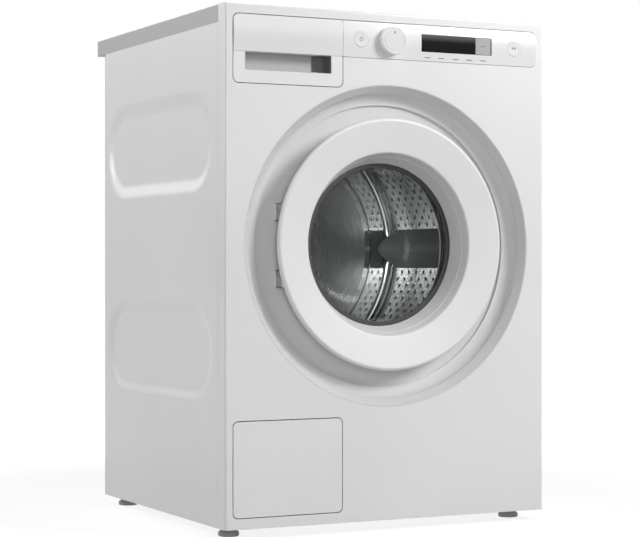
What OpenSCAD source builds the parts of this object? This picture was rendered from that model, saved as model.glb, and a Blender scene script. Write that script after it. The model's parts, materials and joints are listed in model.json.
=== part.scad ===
// Front-loading washing machine, in millimetres.
// The origin is on the floor under the middle of the whole machine. +X is to the
// right of a person who faces the door, the door faces -Y, and +Z is up.
// Inside each module, y is the depth behind the face of the front panel.

/* [Cabinet] */
// Width over the side panels
cabinet_w = 595; // [590:1:600]
// Height from the floor to the top of the worktop
cabinet_h = 850; // [845:1:860]
// Depth from the front panel's face to the rear edge of the side panels
cabinet_d = 541; // [541:1:560]
// How far the worktop stands out behind the side panels
rear_overhang = 43; // [38:1:60]
// Height of the cabinet's underside above the floor
foot_h = 17; // [15:1:20]
// Thickness of the worktop
top_t = 28.5; // [24:0.5:29]
// Depth of the front panel's side returns
return_d = 28; // [24:1:32]
// Thickness of the sheet steel
sheet = 1.2; // [0.8:0.1:1.5]
// Radius of the front panel's edges
edge_r = 4; // [2:0.5:6]
// Depth of the pressed stiffening fields in the side panels
field_d = 5; // [3:0.5:7]
// Height of a stiffening field
field_h = 171; // [160:1:176]
// Heights of the centres of the two stiffening fields
field_z = [293, 637];

/* [Porthole] */
// Height of the axis of the door and the drum
axis_z = 467; // [465:1:469]
// Radius of the recess at the front panel's face
bevel_r = 264; // [262:0.5:265]
// Radius at the inner end of the bevel
bevel_in_r = 252.4; // [250:0.1:255]
// Depth of the bevel
bevel_d = 12.5; // [11:0.5:14]
// Radius of the recess where its curved wall ends
recess_r = 233.5; // [232:0.1:236]
// Depth where the curved wall ends
foot_d = 31; // [30:0.5:32]
// Depth of the recess
recess_d = 35; // [34.5:0.1:36]
// Radius of the mouth in the recess floor
mouth_r = 166; // [165:0.5:170]

/* [Door] */
// Height of the middle of the door, a little above the drum's axis
door_z = 469.5; // [468:0.5:470]
// Outer radius of the door
door_r = 208; // [207:0.5:208.5]
// How far the door's face stands in front of the front panel
door_proud = 8; // [7:0.5:10]
// Depth where the door's side turns inward
rim_d = -2; // [-2:0.5:0]
// Radius at the rear edge of the door's side
skirt_r = 196.5; // [196:0.5:197.5]
// Depth of the side's rear edge
skirt_d = 20; // [19:0.5:20]
// Radius of the inner edge of the door's face
window_r = 151; // [150:0.5:152]
// Depth of the inner edge of the door's face
window_d = 1.5; // [-1:0.5:3]
// Outer radius of the bezel that holds the glass
bezel_r = 145; // [144:0.5:146]
// Depth of the seam between the face's funnel and the bezel
bezel_d = 15; // [13:0.5:17]
// Radius of the glass where it leaves the bezel
glass_r = 135; // [133:0.5:135.5]
// Depth of the front of the glass flange
glass_d = 39; // [38:0.5:40]
// Thickness of the glass
glass_t = 4; // [3:0.5:5]
// Depth of the bottom of the glass bowl
bowl_d = 134; // [120:1:136]
// Place of the hinge axis to the side of the door's axis
hinge_x = -188.5; // [-189:0.5:-188]
// Depth of the hinge axis
hinge_y = 11; // [10.5:0.5:11.5]
// Distance of each hinge arm from the level of the door's axis
arm_z = 54; // [50:1:56]
// Radius of the hinge pin
pin_r = 3.5; // [3:0.5:4]

/* [Front fittings] */
// Left edge of the drawer front and of the service flap
left_x = -283.5; // [-285:0.5:-282]
// Right edge of the drawer front
drawer_x = -89.4; // [-91:0.1:-88]
// Right edge of the control fascia
fascia_x = 282; // [280:0.5:283]
// Lower edge of the drawer front
drawer_z = 724.4; // [723:0.1:726]
// Height of the seam between the glossy strip and the plain front
seam_z = 774; // [772:0.5:776]
// Upper edge of the strip
strip_z = 833; // [831:0.5:834]
// Corner radius of the front fittings
corner_r = 9.5; // [8:0.5:11]
// Width of the gap round a moving front fitting
gap = 1; // [0.6:0.1:1.2]
// Upper edge of the service flap
flap_z = 187.5; // [184:0.5:189]
// Lower edge of the service flap
flap_low_z = 35; // [33:0.5:37]
// Height of the service flap's hinge pegs
flap_pivot_z = 47; // [46.5:0.5:48]

/* [Controls] */
// Height of the knob and the two buttons
control_z = 804; // [802:0.5:806]
// Radius of the programme knob
knob_r = 23.5; // [22:0.5:25]
// How far the knob stands in front of the front panel
knob_proud = 14; // [12:0.5:16]
// Radius of the two push buttons
button_r = 13.1; // [12:0.1:13.2]
// Places of the power button and the start button across the fascia
button_x = [-56, 237];
// Travel of a push button
button_travel = 1.5; // [1:0.1:2]
// Left and right edges of the display window
display_x = [57, 193];
// Lower and upper edges of the display window
display_z = [789.5, 818.3];

/* [Drum and tub] */
// Outer radius of the drum
drum_r = 241.5; // [238:0.5:242]
// Thickness of the drum's sheet
drum_t = 1.5; // [1:0.1:2]
// Depths of the drum's front and rear
drum_y = [112, 434];
// Radius of the drum's mouth
drum_mouth_r = 158; // [156:0.5:160]
// Number of lifters in the drum
lifters = 3; // [3:1:4]
// How far the middle of the drum's back stands forward
drum_step = 14; // [10:1:16]
// Outer radius of the tub
tub_r = 256; // [255:0.5:257]
// Thickness of the tub's wall
tub_t = 4; // [3:0.5:4.5]
// Depths of the tub's front, its joint and its rear
tub_y = [92, 300, 463];

/* [Drive] */
// Radius of the drum pulley
pulley_r = 140; // [130:1:145]
// Radius of the motor pulley
pinion_r = 10; // [9:0.5:11]
// Place of the motor's axis, across and up
motor_at = [60, 140];
// Radius of the motor's housing
motor_r = 58; // [56:1:60]

/* [Suspension and feet] */
// Distance of the struts from the middle of the machine
strut_x = 150; // [140:1:155]
// Depths of the front and rear struts
strut_y = [150, 410];
// Turns of a strut spring
spring_turns = 6; // [4:1:8]
// Distance of the feet from the middle of the machine
foot_x = 265; // [255:1:270]
// Depths of the front and rear feet
foot_y = [60, 510];
// Radius of a foot
foot_r = 17; // [15:0.5:18]

/* [Hidden] */
$fn = 96;

half_w = cabinet_w / 2;
top_z = cabinet_h - top_t;
rear_y = cabinet_d + rear_overhang;
panel_y = cabinet_d + sheet;
front_shift = -(rear_y - knob_proud) / 2;
fit = 0.05;             // radial clearance of a shaft or pin that turns
loose = 0.3;            // distance between curved faces that only pass each other
floor_y = recess_d + 0.4;
floor_back = recess_d + 2.9;
flap_peg_r = 2.5;
tub_in = tub_r - tub_t;
seam_r = tub_r + 8;
neck_r = 162;
filter_at = [-235, 95];
filter_r = 34;
pump_in = [110, 100];     // depth and height of the pump's inlet
pump_out = [-221, 168];   // place and depth of the pump's outlet
sump_out = [200, 205];    // depth and height of the tub's outlet
screw_r = 1.9;
hub_y = [446, 498];
seal_y = 453;
bearing_r = [31, 26];
shaft_r = [15, 12.5, 10, 6];
pulley_y = [503, 523];
belt_t = 3;
spigot_r = 13.2;
drain_r = 12;
gland_r = 8;
transit_r = 9;

// ---- helpers ----

// Places what is drawn with y as the depth behind the front panel's face
module from_front() translate([0, front_shift, 0]) children();

module block(x0, x1, y0, y1, z0, z1) translate([x0, y0, z0]) cube([x1 - x0, y1 - y0, z1 - z0]);

module rod_x(x0, x1, y, z, r) translate([x0, y, z]) rotate([0, 90, 0]) cylinder(h = x1 - x0, r = r);

module rod_y(x, z, y0, y1, r) translate([x, y0, z]) rotate([-90, 0, 0]) cylinder(h = y1 - y0, r = r);

module rod_z(x, y, z0, z1, r) translate([x, y, z0]) cylinder(h = z1 - z0, r = r);

// A plate whose outline is drawn in x and z, from depth y0 to depth y1
module plate(y0, y1) translate([0, y1, 0]) rotate([90, 0, 0]) linear_extrude(y1 - y0) children();

// A bar whose section is drawn in y and z, from x0 to x1
module bar(x0, x1) translate([x0, 0, 0]) rotate([90, 0, 90]) linear_extrude(x1 - x0) children();

// A ring round a Y axis at x and z, from points of radius and depth
module turned(points, x = 0, z = axis_z)
    translate([x, 0, z]) rotate([-90, 0, 0]) rotate_extrude() polygon(points);

function arc(cx, cy, rx, ry, a0, a1, n) =
    [for (i = [0:n]) let (a = a0 + (a1 - a0) * i / n) [cx + rx * cos(a), cy + ry * sin(a)]];

// Outline of a rectangle with its own radius at each corner: upper right, upper left,
// lower left and lower right
function outline(x0, x1, z0, z1, r) = concat(
    arc(x1 - r[0], z1 - r[0], r[0], r[0], 0, 90, 6),
    arc(x0 + r[1], z1 - r[1], r[1], r[1], 90, 180, 6),
    arc(x0 + r[2], z0 + r[2], r[2], r[2], 180, 270, 6),
    arc(x1 - r[3], z0 + r[3], r[3], r[3], 270, 360, 6));

function bezier(a, b, c, d, t) =
    a * pow(1 - t, 3) + b * 3 * t * pow(1 - t, 2) + c * 3 * t * t * (1 - t) + d * pow(t, 3);

function unit(v) = v / norm(v);

// One ring of points round a path at p, square to the direction d
function ring(p, d, up, r, sides) =
    let (u = unit(cross(d, up)), v = unit(cross(u, d)))
    [for (k = [0:sides - 1]) p + r * (u * cos(360 * k / sides) + v * sin(360 * k / sides))];

// A round tube along a path of points, walled with triangles
module tube(path, r, sides, up) {
    last = len(path) - 1;
    rings = [for (i = [0:last])
        ring(path[i], unit(path[min(i + 1, last)] - path[max(i - 1, 0)]), up, r, sides)];
    walls = [for (i = [0:last - 1], k = [0:sides - 1])
        let (n = (k + 1) % sides, a = i * sides, b = a + sides)
        each [[a + k, a + n, b + n], [a + k, b + n, b + k]]];
    ends = [[for (k = [sides - 1:-1:0]) k], [for (k = [0:sides - 1]) last * sides + k]];
    polyhedron([for (one = rings) each one], concat(walls, ends));
}

// ---- cabinet ----

// A pressed field with round ends: its slope runs from radius r at x0 to a smaller one at x1
module field(z, x0, x1, grow) {
    r = field_h / 2 + grow;
    slope = 28;
    ends = [47 + field_h / 2, 530 - field_h / 2];
    hull() for (y = ends) {
        rod_x(x0 - 0.1, x0, y, z, r, $fn = 48);
        rod_x(x1 - 0.1, x1, y, z, r - slope, $fn = 48);
    }
}

// The left side panel, with flanges that carry the rear panel, worktop and base
module side_panel() {
    x = -half_w;
    front = return_d + 0.5;
    difference() {
        union() {
            block(x, x + sheet, front, cabinet_d, foot_h, top_z);
            block(x, x + 20, cabinet_d - sheet, cabinet_d, foot_h, top_z);
            block(x, x + 16, front, cabinet_d, top_z - sheet, top_z);
            block(x, x + 16, front, cabinet_d, foot_h, foot_h + sheet);
            block(x + sheet, x + 2 * sheet, 14, front + 6, foot_h + 3, top_z - 3);
            for (z = field_z) field(z, x + sheet, x + field_d + sheet, 1);
        }
        for (z = field_z) field(z, x, x + field_d, 0);
        screw_holes(panel_screws);
    }
}

module side_panel_left() color("whitesmoke") from_front() side_panel();

module side_panel_right() color("whitesmoke") from_front() mirror([1, 0, 0]) side_panel();

// Places of the transit bolts: they pass the rear panel and hold the tub in transport
transit_x = 200;
transit_z = [330, 600];
cover_x = 160;
cover_z = [300, 640];
cover_screws = [for (x = [8 - cover_x, cover_x - 8], z = [cover_z[0] + 20, cover_z[1] - 20]) [x, z]];
panel_screws = [for (x = [14 - half_w, half_w - 14], z = [80, 420, 760]) [x, z]];

module screw_holes(places) for (p = places)
    rod_y(p[0], p[1], cabinet_d - 5, cabinet_d + 5, screw_r + 0.1);

module rear_panel() color("gainsboro") from_front() difference() {
    block(4 - half_w, half_w - 4, cabinet_d, panel_y, foot_h + 2, top_z - 1);
    block(12 - cover_x, cover_x - 12, cabinet_d - 1, panel_y + 1, cover_z[0] + 12, cover_z[1] - 12);
    screw_holes(concat(cover_screws, panel_screws));
    for (x = [-transit_x, transit_x], z = transit_z)
        rod_y(x, z, cabinet_d - 1, panel_y + 1, transit_r);
    rod_y(valve_at[0], valve_at[1], cabinet_d - 1, panel_y + 1, spigot_r + 1);
    rod_y(drain_at[0], drain_at[1], cabinet_d - 1, panel_y + 1, drain_r + 1);
    rod_y(gland_at[0], gland_at[1], cabinet_d - 1, panel_y + 1, gland_r + 0.5);
}

module rear_cover() color("gainsboro") from_front() difference() {
    union() {
        plate(panel_y, panel_y + sheet)
            polygon(outline(-cover_x, cover_x, cover_z[0], cover_z[1], [14, 14, 14, 14]));
        plate(panel_y + sheet, panel_y + 5)
            polygon(outline(22 - cover_x, cover_x - 22, cover_z[0] + 22, cover_z[1] - 22,
                [20, 20, 20, 20]));
    }
    screw_holes(cover_screws);
}

// The base carries the struts, the pump and the threaded bosses of the feet
module base_tray() color("silver") from_front() difference() {
    union() {
        block(2 - half_w, half_w - 2, return_d + 2, cabinet_d - 2, foot_h + sheet, foot_h + 2 * sheet);
        for (x = [18 - half_w, half_w - 20])
            block(x, x + 2, return_d + 2, cabinet_d - 2, foot_h + sheet, foot_h + 26);
        for (y = [return_d + 2, cabinet_d - 4])
            block(18 - half_w, half_w - 18, y, y + 2, foot_h + sheet, foot_h + 26);
        for (x = [-foot_x, foot_x], y = foot_y) rod_z(x, y, foot_h + sheet, foot_h + 24, 11);
        for (x = [-strut_x, strut_x], y = strut_y) rod_z(x, y, foot_h + sheet, foot_h + 8, 24);
        block(filter_at[0] - 30, filter_at[0] + 30, 60, 140, foot_h + sheet, filter_at[1] - filter_r + 1);
    }
    for (x = [-foot_x, foot_x], y = foot_y) rod_z(x, y, foot_h - 1, foot_h + 60, 5 + fit);
    rod_y(filter_at[0], filter_at[1], 50, 150, filter_r + fit);
}

// The body of the front panel, drawn in by an even amount on every side but the rear
module front_body(in, back) intersection() {
    translate([0, 0, foot_h + in]) linear_extrude(cabinet_h - foot_h - 2 * in)
        polygon(outline(in - half_w, half_w - in, in, back, [0.01, 0.01, edge_r - in, edge_r - in]));
    bar(in - half_w, half_w - in)
        polygon(concat([[back, foot_h + in]], [[back, cabinet_h - in]],
            arc(edge_r + 1, cabinet_h - edge_r - 1, edge_r + 1 - in, edge_r + 1 - in, 90, 180, 6),
            [[in, foot_h + in]]));
}

module front_panel() color("white") from_front() difference() {
    union() {
        difference() {
            front_body(0, return_d);
            front_body(sheet, return_d + 1);
        }
        // Ears for the service flap's pegs
        for (x = [left_x - gap - 2.5, drawer_x + gap + 0.5])
            block(x, x + 2, sheet - 0.2, 11, flap_pivot_z - 6, flap_pivot_z + 6);
    }
    rod_y(0, axis_z, -1, 10, bevel_r);
    plate(-1, 10) polygon(outline(left_x - gap, drawer_x + gap, drawer_z - gap, strip_z + gap,
        [0.01, corner_r + gap, corner_r + gap, corner_r + gap]));
    plate(-1, 10) polygon(outline(drawer_x - 1, fascia_x + gap / 2, seam_z - gap / 2, strip_z + gap,
        [corner_r + gap, 0.01, 0.01, corner_r + gap]));
    plate(-1, 10) polygon(outline(left_x - gap, drawer_x + gap - 0.6, flap_low_z - gap, flap_z + gap,
        [corner_r, corner_r, corner_r, corner_r]));
    rod_x(left_x - 8, drawer_x + 8, 5, flap_pivot_z, flap_peg_r + fit);
}

module worktop() color("white") from_front()
    block(-half_w, half_w, return_d + 0.5, rear_y, top_z, cabinet_h);

// ---- porthole ----

// The wall of the recess: a straight bevel, then a concave curve that ends above the floor;
// behind its end a foot reaches down to the floor
module porthole_surround() color("lightgray") from_front() {
    wall = 1.5;
    run = bevel_in_r - recess_r;
    drop = foot_d - bevel_d;
    turned(concat(
        [[bevel_r - loose, 0]],
        arc(recess_r, bevel_d, run, drop, 0, 90, 8),
        [[recess_r, foot_d + wall], [recess_r + 2, foot_d + wall], [recess_r + 2, floor_y],
         [recess_r + 5.5, floor_y]],
        arc(recess_r, bevel_d, run + wall, drop + wall, 74, 0, 7),
        [[bevel_r - 1, sheet + 1.8], [bevel_r + 6, sheet + 1.8], [bevel_r + 6, sheet],
         [bevel_r - loose, sheet]]));
}

module porthole_floor() color("lightgray") from_front() difference() {
    turned([[mouth_r, floor_y], [recess_r + 12, floor_y], [recess_r + 12, floor_back],
        [mouth_r, floor_back]]);
    for (s = [-1, 1])
        block(hinge_x - 5, hinge_x + 8, floor_y - 1, floor_back + 1,
            axis_z + s * arm_z - 15, axis_z + s * arm_z + 15);
    block(175, 200, floor_y - 1, floor_back + 1, axis_z - 13, axis_z + 13);
}

// The bellows grips the mouth of the recess floor and the tub's neck; its lip meets the glass
module door_gasket() color("dimgray") from_front() {
    grip = mouth_r + 5;
    lip = glass_r + 4;
    turned([
        [grip, floor_y - 2.4], [grip, floor_y - 0.1], [mouth_r - 0.4, floor_y - 0.1],
        [mouth_r - 0.4, floor_back + 0.1], [grip, floor_back + 0.1], [grip, floor_back + 3],
        [166.5, 44.5], [166.5, 52], [173, 57], [173, 62], [166.5, 67], [166.5, 90],
        [neck_r + loose, 90], [neck_r + loose, 66], [169.8, 60.5], [169.8, 58.5],
        [163, 53.3], [lip + 3, 60], [lip, 63], [lip, 60], [lip + 2.5, 56.5],
        [160, 48], [160, floor_y - 2.4]]);
}

// A plate behind the recess floor with two arms that carry the hinge pin
module hinge_bracket() color("darkgray") from_front() difference() {
    union() {
        block(hinge_x - 22, hinge_x + 15, floor_back, floor_back + 3, axis_z - 80, axis_z + 80);
        for (s = [-1, 1]) {
            low = axis_z + s * arm_z - 12.5;
            block(hinge_x - 3, hinge_x + 3, hinge_y, floor_back + 1, low, low + 25);
            rod_z(hinge_x, hinge_y, low, low + 25, 6.5);
        }
    }
    rod_z(hinge_x, hinge_y, axis_z - 90, axis_z + 90, pin_r + fit);
}

module hinge_pin() color("silver") from_front()
    rod_z(hinge_x, hinge_y, axis_z - arm_z - 12, axis_z + arm_z + 12, pin_r);

module door_lock() color("dimgray") from_front() difference() {
    block(174.5, 210, floor_back, 76, axis_z - 32, axis_z + 32);
    block(178.5, 202, floor_back - 1, 66, axis_z - 13, axis_z + 13);
}

// ---- door ----

module hinge_slots() for (s = [-1, 1])
    block(hinge_x - 40, hinge_x + 8, 0.5, 50,
        axis_z + s * arm_z - 14.75, axis_z + s * arm_z + 14.75);

module door_front_ring() color("white") from_front() difference() {
    wall = 2.5;
    round = 6;
    face = -door_proud;
    turned(concat(
        [[bezel_r + 0.2, bezel_d], [window_r, window_d]],
        arc(door_r - round, face + round, round, round, 270, 360, 6),
        [[door_r, rim_d], [skirt_r, skirt_d], [skirt_r - wall, skirt_d], [door_r - wall, rim_d]],
        arc(door_r - round, face + round, round - wall, round - wall, 360, 270, 6),
        [[window_r + wall, window_d + wall], [bezel_r + 0.2 + wall, bezel_d]]), 0, door_z);
    hinge_slots();
}

module door_bezel() color("white") from_front() turned([
    [bezel_r - 0.2, bezel_d + 0.3], [glass_r, glass_d], [glass_r + 3.5, glass_d],
    [bezel_r + 3, bezel_d + 3], [bezel_r + 3, bezel_d + 0.3]], 0, door_z);

module door_back_frame() color("lightgray") from_front() difference() {
    wall_r = bezel_r + 3.5;
    union() {
        turned([
            [wall_r, skirt_d + 0.2], [skirt_r, skirt_d + 0.2], [skirt_r - 5, skirt_d + 10],
            [wall_r + 5, skirt_d + 10], [wall_r + 3, glass_d + 8],
            [glass_r + 4, glass_d + 8], [glass_r + 4, glass_d + glass_t + 0.2],
            [wall_r, glass_d + glass_t + 0.2]], 0, door_z);
        // Barrels that hold the hinge pin between the two arms
        for (s = [-1, 1]) {
            low = axis_z + s * 16 - 8;
            rod_z(hinge_x, hinge_y, low, low + 16, 5.5);
            block(hinge_x, hinge_x + 6, hinge_y, skirt_d + 2, low, low + 16);
        }
    }
    hinge_slots();
    rod_z(hinge_x, hinge_y, axis_z - 90, axis_z + 90, pin_r + fit);
}

// A deep bowl that keeps the wash away from the door
module door_glass() color("lightsteelblue", 0.4) from_front() {
    depth = bowl_d - glass_d;
    straight = 62;
    belly = glass_r * 0.55;
    turned(concat(
        [[bezel_r + 2.8, glass_d], [bezel_r + 2.8, glass_d + glass_t], [glass_r, glass_d + glass_t],
         [glass_r, straight]],
        arc(belly, straight + depth * 0.2, glass_r - belly - 4, depth * 0.566, 0, 90, 8),
        [[0, bowl_d], [0, bowl_d - glass_t]],
        arc(belly, straight + depth * 0.2, glass_r - belly - 4 - glass_t, depth * 0.566 - glass_t,
            90, 0, 8),
        [[glass_r - glass_t, straight], [glass_r - glass_t, glass_d]]), 0, door_z);
}

// The hook stands behind the door's frame and enters the lock
module door_hook() color("silver") from_front() {
    block(182, 188, skirt_d + 10, 58, axis_z - 6, axis_z + 6);
    block(188, 193, 52, 58, axis_z - 6, axis_z + 6);
    block(172, 188, skirt_d + 10, skirt_d + 12, axis_z - 11, axis_z + 11);
}

// ---- control fascia ----

// Section of the strip: its face is slightly convex
function strip_section(back) = concat(
    [[back, seam_z + 0.2], [-0.4, seam_z + 0.2]],
    [for (i = [1:5]) let (t = i / 6)
        [-0.4 - 1.8 * sin(180 * t), seam_z + 0.2 + t * (strip_z - seam_z - 0.2)]],
    [[-0.4, strip_z], [back, strip_z]]);

module fascia() color("white") from_front() difference() {
    intersection() {
        bar(drawer_x, fascia_x) polygon(strip_section(8));
        plate(-5, 10) polygon(outline(drawer_x + 0.6, fascia_x, seam_z, strip_z,
            [corner_r + 1, 0.01, 0.01, corner_r + 1]));
    }
    block(drawer_x + 3, fascia_x - 3, 1.5, 9, seam_z + 3, strip_z - 3);
    for (x = button_x) rod_y(x, control_z, -5, 5, button_r + 0.25);
    rod_y(0, control_z, -5, 5, 4);
    block(display_x[0] - 0.2, display_x[1] + 0.2, -5, 5, display_z[0] - 0.2, display_z[1] + 0.2);
}

module display_window() color("black") from_front()
    block(display_x[0], display_x[1], -1.8, 1.2, display_z[0], display_z[1]);

// The circuit board with the display's case, the knob's encoder and two switches
module control_board() color("darkgreen") from_front() difference() {
    union() {
        block(-80, 260, 16, 18, 780, 820);
        block(display_x[0] - 3, display_x[1] + 3, 1.6, 16, display_z[0] - 3, display_z[1] + 3);
        block(-9, 9, 9, 16, control_z - 9, control_z + 9);
        for (x = button_x) block(x - 6, x + 6, 11, 16, control_z - 6, control_z + 6);
        block(-84, -80, 12, 30, 780, 820);
        block(260, 264, 12, 30, 780, 820);
        for (x = [-60, 20, 240]) block(x, x + 18, 18, 30, 786, 804);
    }
    rod_y(0, control_z, 0, 14, 3 + fit);
}

module program_knob() color("white") from_front() difference() {
    union() {
        turned([[0, -knob_proud], [knob_r - 2, -knob_proud], [knob_r, 2 - knob_proud],
            [knob_r, -3], [0, -3]], 0, control_z);
        rod_y(0, control_z, -4, 13, 3);
    }
    groove = knob_r - 4;
    turned([[groove - 0.5, -knob_proud - 1], [groove + 0.3, -knob_proud - 1],
        [groove + 0.3, 0.6 - knob_proud], [groove - 0.5, 0.6 - knob_proud]], 0, control_z);
}

module push_button(x) {
    turned([[0, -2.6], [button_r - 0.8, -2.6], [button_r, -2.1], [button_r, 3], [0, 3]], x, control_z);
    rod_y(x, control_z, 2.9, 11 - button_travel, 4);
}

module power_button() color("white") from_front() push_button(button_x[0]);

module start_button() color("white") from_front() push_button(button_x[1]);

// ---- detergent drawer ----

grip_x = [-263.5, -109.7];
grip_z = [745, 773.7];
tray_y = [32, 292];
tray_x = [-274, -99];
tray_z = [733, 800];

module drawer_front() color("white") from_front() difference() {
    union() {
        plate(0, 3) polygon(outline(left_x, drawer_x, drawer_z, seam_z - 0.3,
            [0.01, 0.01, corner_r, corner_r]));
        block(left_x + 3, drawer_x - 3, 3, 6, drawer_z + 3, strip_z - 3);
        block(grip_x[0] - 2, grip_x[1] + 2, 3, tray_y[0], grip_z[0] - 2, grip_z[1] + 2);
    }
    block(grip_x[0], grip_x[1], -1, 22, grip_z[0], grip_z[1]);
    block(-137, grip_x[1], -1, 30, grip_z[0], grip_z[1]);
}

module drawer_strip() color("white") from_front() intersection() {
    bar(left_x, drawer_x) polygon(strip_section(3));
    plate(-5, 5) polygon(outline(left_x, drawer_x, seam_z, strip_z, [0.01, corner_r, 0.01, 0.01]));
}

// Three compartments side by side
module drawer_tray() color("lightgray") from_front() {
    wall = 2;
    width = (tray_x[1] - tray_x[0] - 4 * wall) / 3;
    difference() {
        block(tray_x[0], tray_x[1], tray_y[0], tray_y[1], tray_z[0], tray_z[1]);
        for (i = [0:2]) {
            x = tray_x[0] + wall + i * (width + wall);
            block(x, x + width, tray_y[0] + wall, tray_y[1] - wall, tray_z[0] + wall, tray_z[1] + 1);
        }
    }
}

// The chamber that the drawer slides in, open at the front
module drawer_housing() color("gainsboro") from_front() {
    x0 = tray_x[0] - 5;
    x1 = tray_x[1] + 5;
    difference() {
        block(x0 - 2, x1 + 2, 16, 314, tray_z[0] - 7, tray_z[1] + 12);
        block(x0, x1, 15, 312, tray_z[0] - 5, tray_z[1] + 10);
        rod_z(hose_at[0], hose_at[1], tray_z[0] - 10, tray_z[0], 12);
    }
    // Runners under the tray and a flange that fastens to the front panel
    for (x = [tray_x[0] + 12, tray_x[1] - 22])
        block(x, x + 10, 40, 312, tray_z[0] - 5.5, tray_z[0] - loose);
    block(x0 - 11, x0 - 1, 16, 18, 735, 800);
    block(x0 - 11, x0 - 9, sheet, 17, 735, 800);
}

// ---- water ----

valve_at = [-220, 780];
drain_at = [-235, 250];
gland_at = [235, 740];
hose_at = [-200, 260];

// A solenoid valve with a threaded inlet, and the hose from it to the drawer's chamber
module inlet_valve() color("white") from_front() {
    block(valve_at[0] - 20, valve_at[0] + 20, 492, 532, valve_at[1] - 20, valve_at[1] + 24);
    rod_y(valve_at[0], valve_at[1], 531, cabinet_d, 24);
    rod_y(valve_at[0], valve_at[1], cabinet_d - 1, 560, spigot_r);
    rod_y(valve_at[0], valve_at[1], 314, 493, 8);
}

// Rubber hoses that give with the tub: from the drawer's chamber, and to the pump
module tub_hoses() color("dimgray") from_front() {
    difference() {
        rod_z(hose_at[0], hose_at[1], 652, tray_z[0] - 7, 17);
        rod_z(hose_at[0], hose_at[1], 640, tray_z[0] + 7, 14.3);
    }
    steps = 14;
    low = [-125, pump_in[0], pump_in[1]];
    high = [-77, sump_out[0], sump_out[1]];
    tube([for (i = [0:steps]) bezier(low, low + [42, 0, 0], high - [46, 0, 0], high, i / steps)],
        15, 12, [0, 0, 1]);
}

// The outlet hose from the pump up to the rear panel
module drain_hose() color("gray") from_front() {
    steps = 24;
    low = [pump_out[0], pump_out[1], 145.5];
    high = [drain_at[0], 529, drain_at[1]];
    tube([for (i = [0:steps]) bezier(low, low + [0, 0, 115], high - [0, 200, 0], high, i / steps)],
        11, 12, [1, 0, 0]);
}

module drain_spigot() color("gray") from_front() {
    rod_y(drain_at[0], drain_at[1], 530, cabinet_d + 12, drain_r);
    rod_y(drain_at[0], drain_at[1], cabinet_d + 12, cabinet_d + 36, 9.5);
}

// The entry of the mains lead: a collar with a clamping nose
module cord_gland() color("dimgray") from_front() difference() {
    union() {
        rod_y(gland_at[0], gland_at[1], 530, panel_y, gland_r);
        rod_y(gland_at[0], gland_at[1], panel_y, panel_y + 4, gland_r + 4);
        rod_y(gland_at[0], gland_at[1], panel_y + 3, panel_y + 16, gland_r - 0.5);
    }
    rod_y(gland_at[0], gland_at[1], 520, panel_y + 20, gland_r / 2);
}

// Filter chamber, pump casing and pump motor in one line
module pump_body() color("dimgray") from_front() {
    x = filter_at[0];
    z = filter_at[1];
    difference() {
        union() {
            rod_y(x, z, 46, 152, filter_r);
            rod_y(x, z, 151, 182, 42);
            rod_y(x, z, 181, 250, 28);
            rod_x(x + 20, -130, pump_in[0], pump_in[1], 14);
            rod_z(pump_out[0], pump_out[1], z + 20, 144, 10);
        }
        rod_y(x, z, 40, 148, filter_r - 3);
    }
}

module filter_cap() color("darkslategray") from_front() {
    x = filter_at[0];
    z = filter_at[1];
    rod_y(x, z, 42, 46 - loose, filter_r - 1);
    rod_y(x, z, 45, 70, filter_r - 3 - 0.1);
    block(x - 26, x + 26, 22, 43, z - 4, z + 4);
    for (a = [0:90:270]) translate([x, 0, z]) rotate([0, a, 0]) block(12, 20, 69, 130, -2, 2);
}

// ---- suspension and feet ----

module at_struts() for (x = [-strut_x, strut_x], y = strut_y) translate([x, y, 0]) children();

strut_low = 25;
strut_high = 240;

module strut_cylinders() color("slategray") from_front() at_struts() difference() {
    union() {
        rod_z(0, 0, strut_low, 140, 15);
        rod_z(0, 0, 136, 140, 26);
    }
    rod_z(0, 0, strut_low + 15, 141, 6 + fit);
}

module strut_rods() color("silver") from_front() at_struts() {
    rod_z(0, 0, 70, strut_high, 6);
    rod_z(0, 0, strut_high - 6, strut_high, 26);
}

module strut_springs() color("darkgray") from_front() at_struts() {
    steps = spring_turns * 10;
    low = 142.5;
    high = strut_high - 8.5;
    tube([for (i = [0:steps]) let (a = 360 * spring_turns * i / steps)
        [20 * cos(a), 20 * sin(a), low + (high - low) * i / steps]], 2, 6, [0, 0, 1]);
}

// A foot: a disc on a threaded stem that screws into a boss of the base
module foot(x, y) {
    rod_z(x, y, 0, 7, foot_r);
    translate([x, y, 6.9]) cylinder(h = 3.1, r1 = foot_r, r2 = 12);
    rod_z(x, y, 9.9, foot_h + 28, 5);
}

module foot_front_left() color("gray") from_front() foot(-foot_x, foot_y[0]);

module foot_front_right() color("gray") from_front() foot(foot_x, foot_y[0]);

module foot_rear_left() color("gray") from_front() foot(-foot_x, foot_y[1]);

module foot_rear_right() color("gray") from_front() foot(foot_x, foot_y[1]);

// ---- tub ----

module tub_space() rod_y(0, axis_z, tub_y[0] + 4, tub_y[2] - 5, tub_in);

// A lug of the tub that sits on a strut's upper plate
module strut_lug(y) for (x = [-strut_x, strut_x])
    block(x - 12, x + 12, y - 12, y + 12, strut_high, 290);

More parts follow.
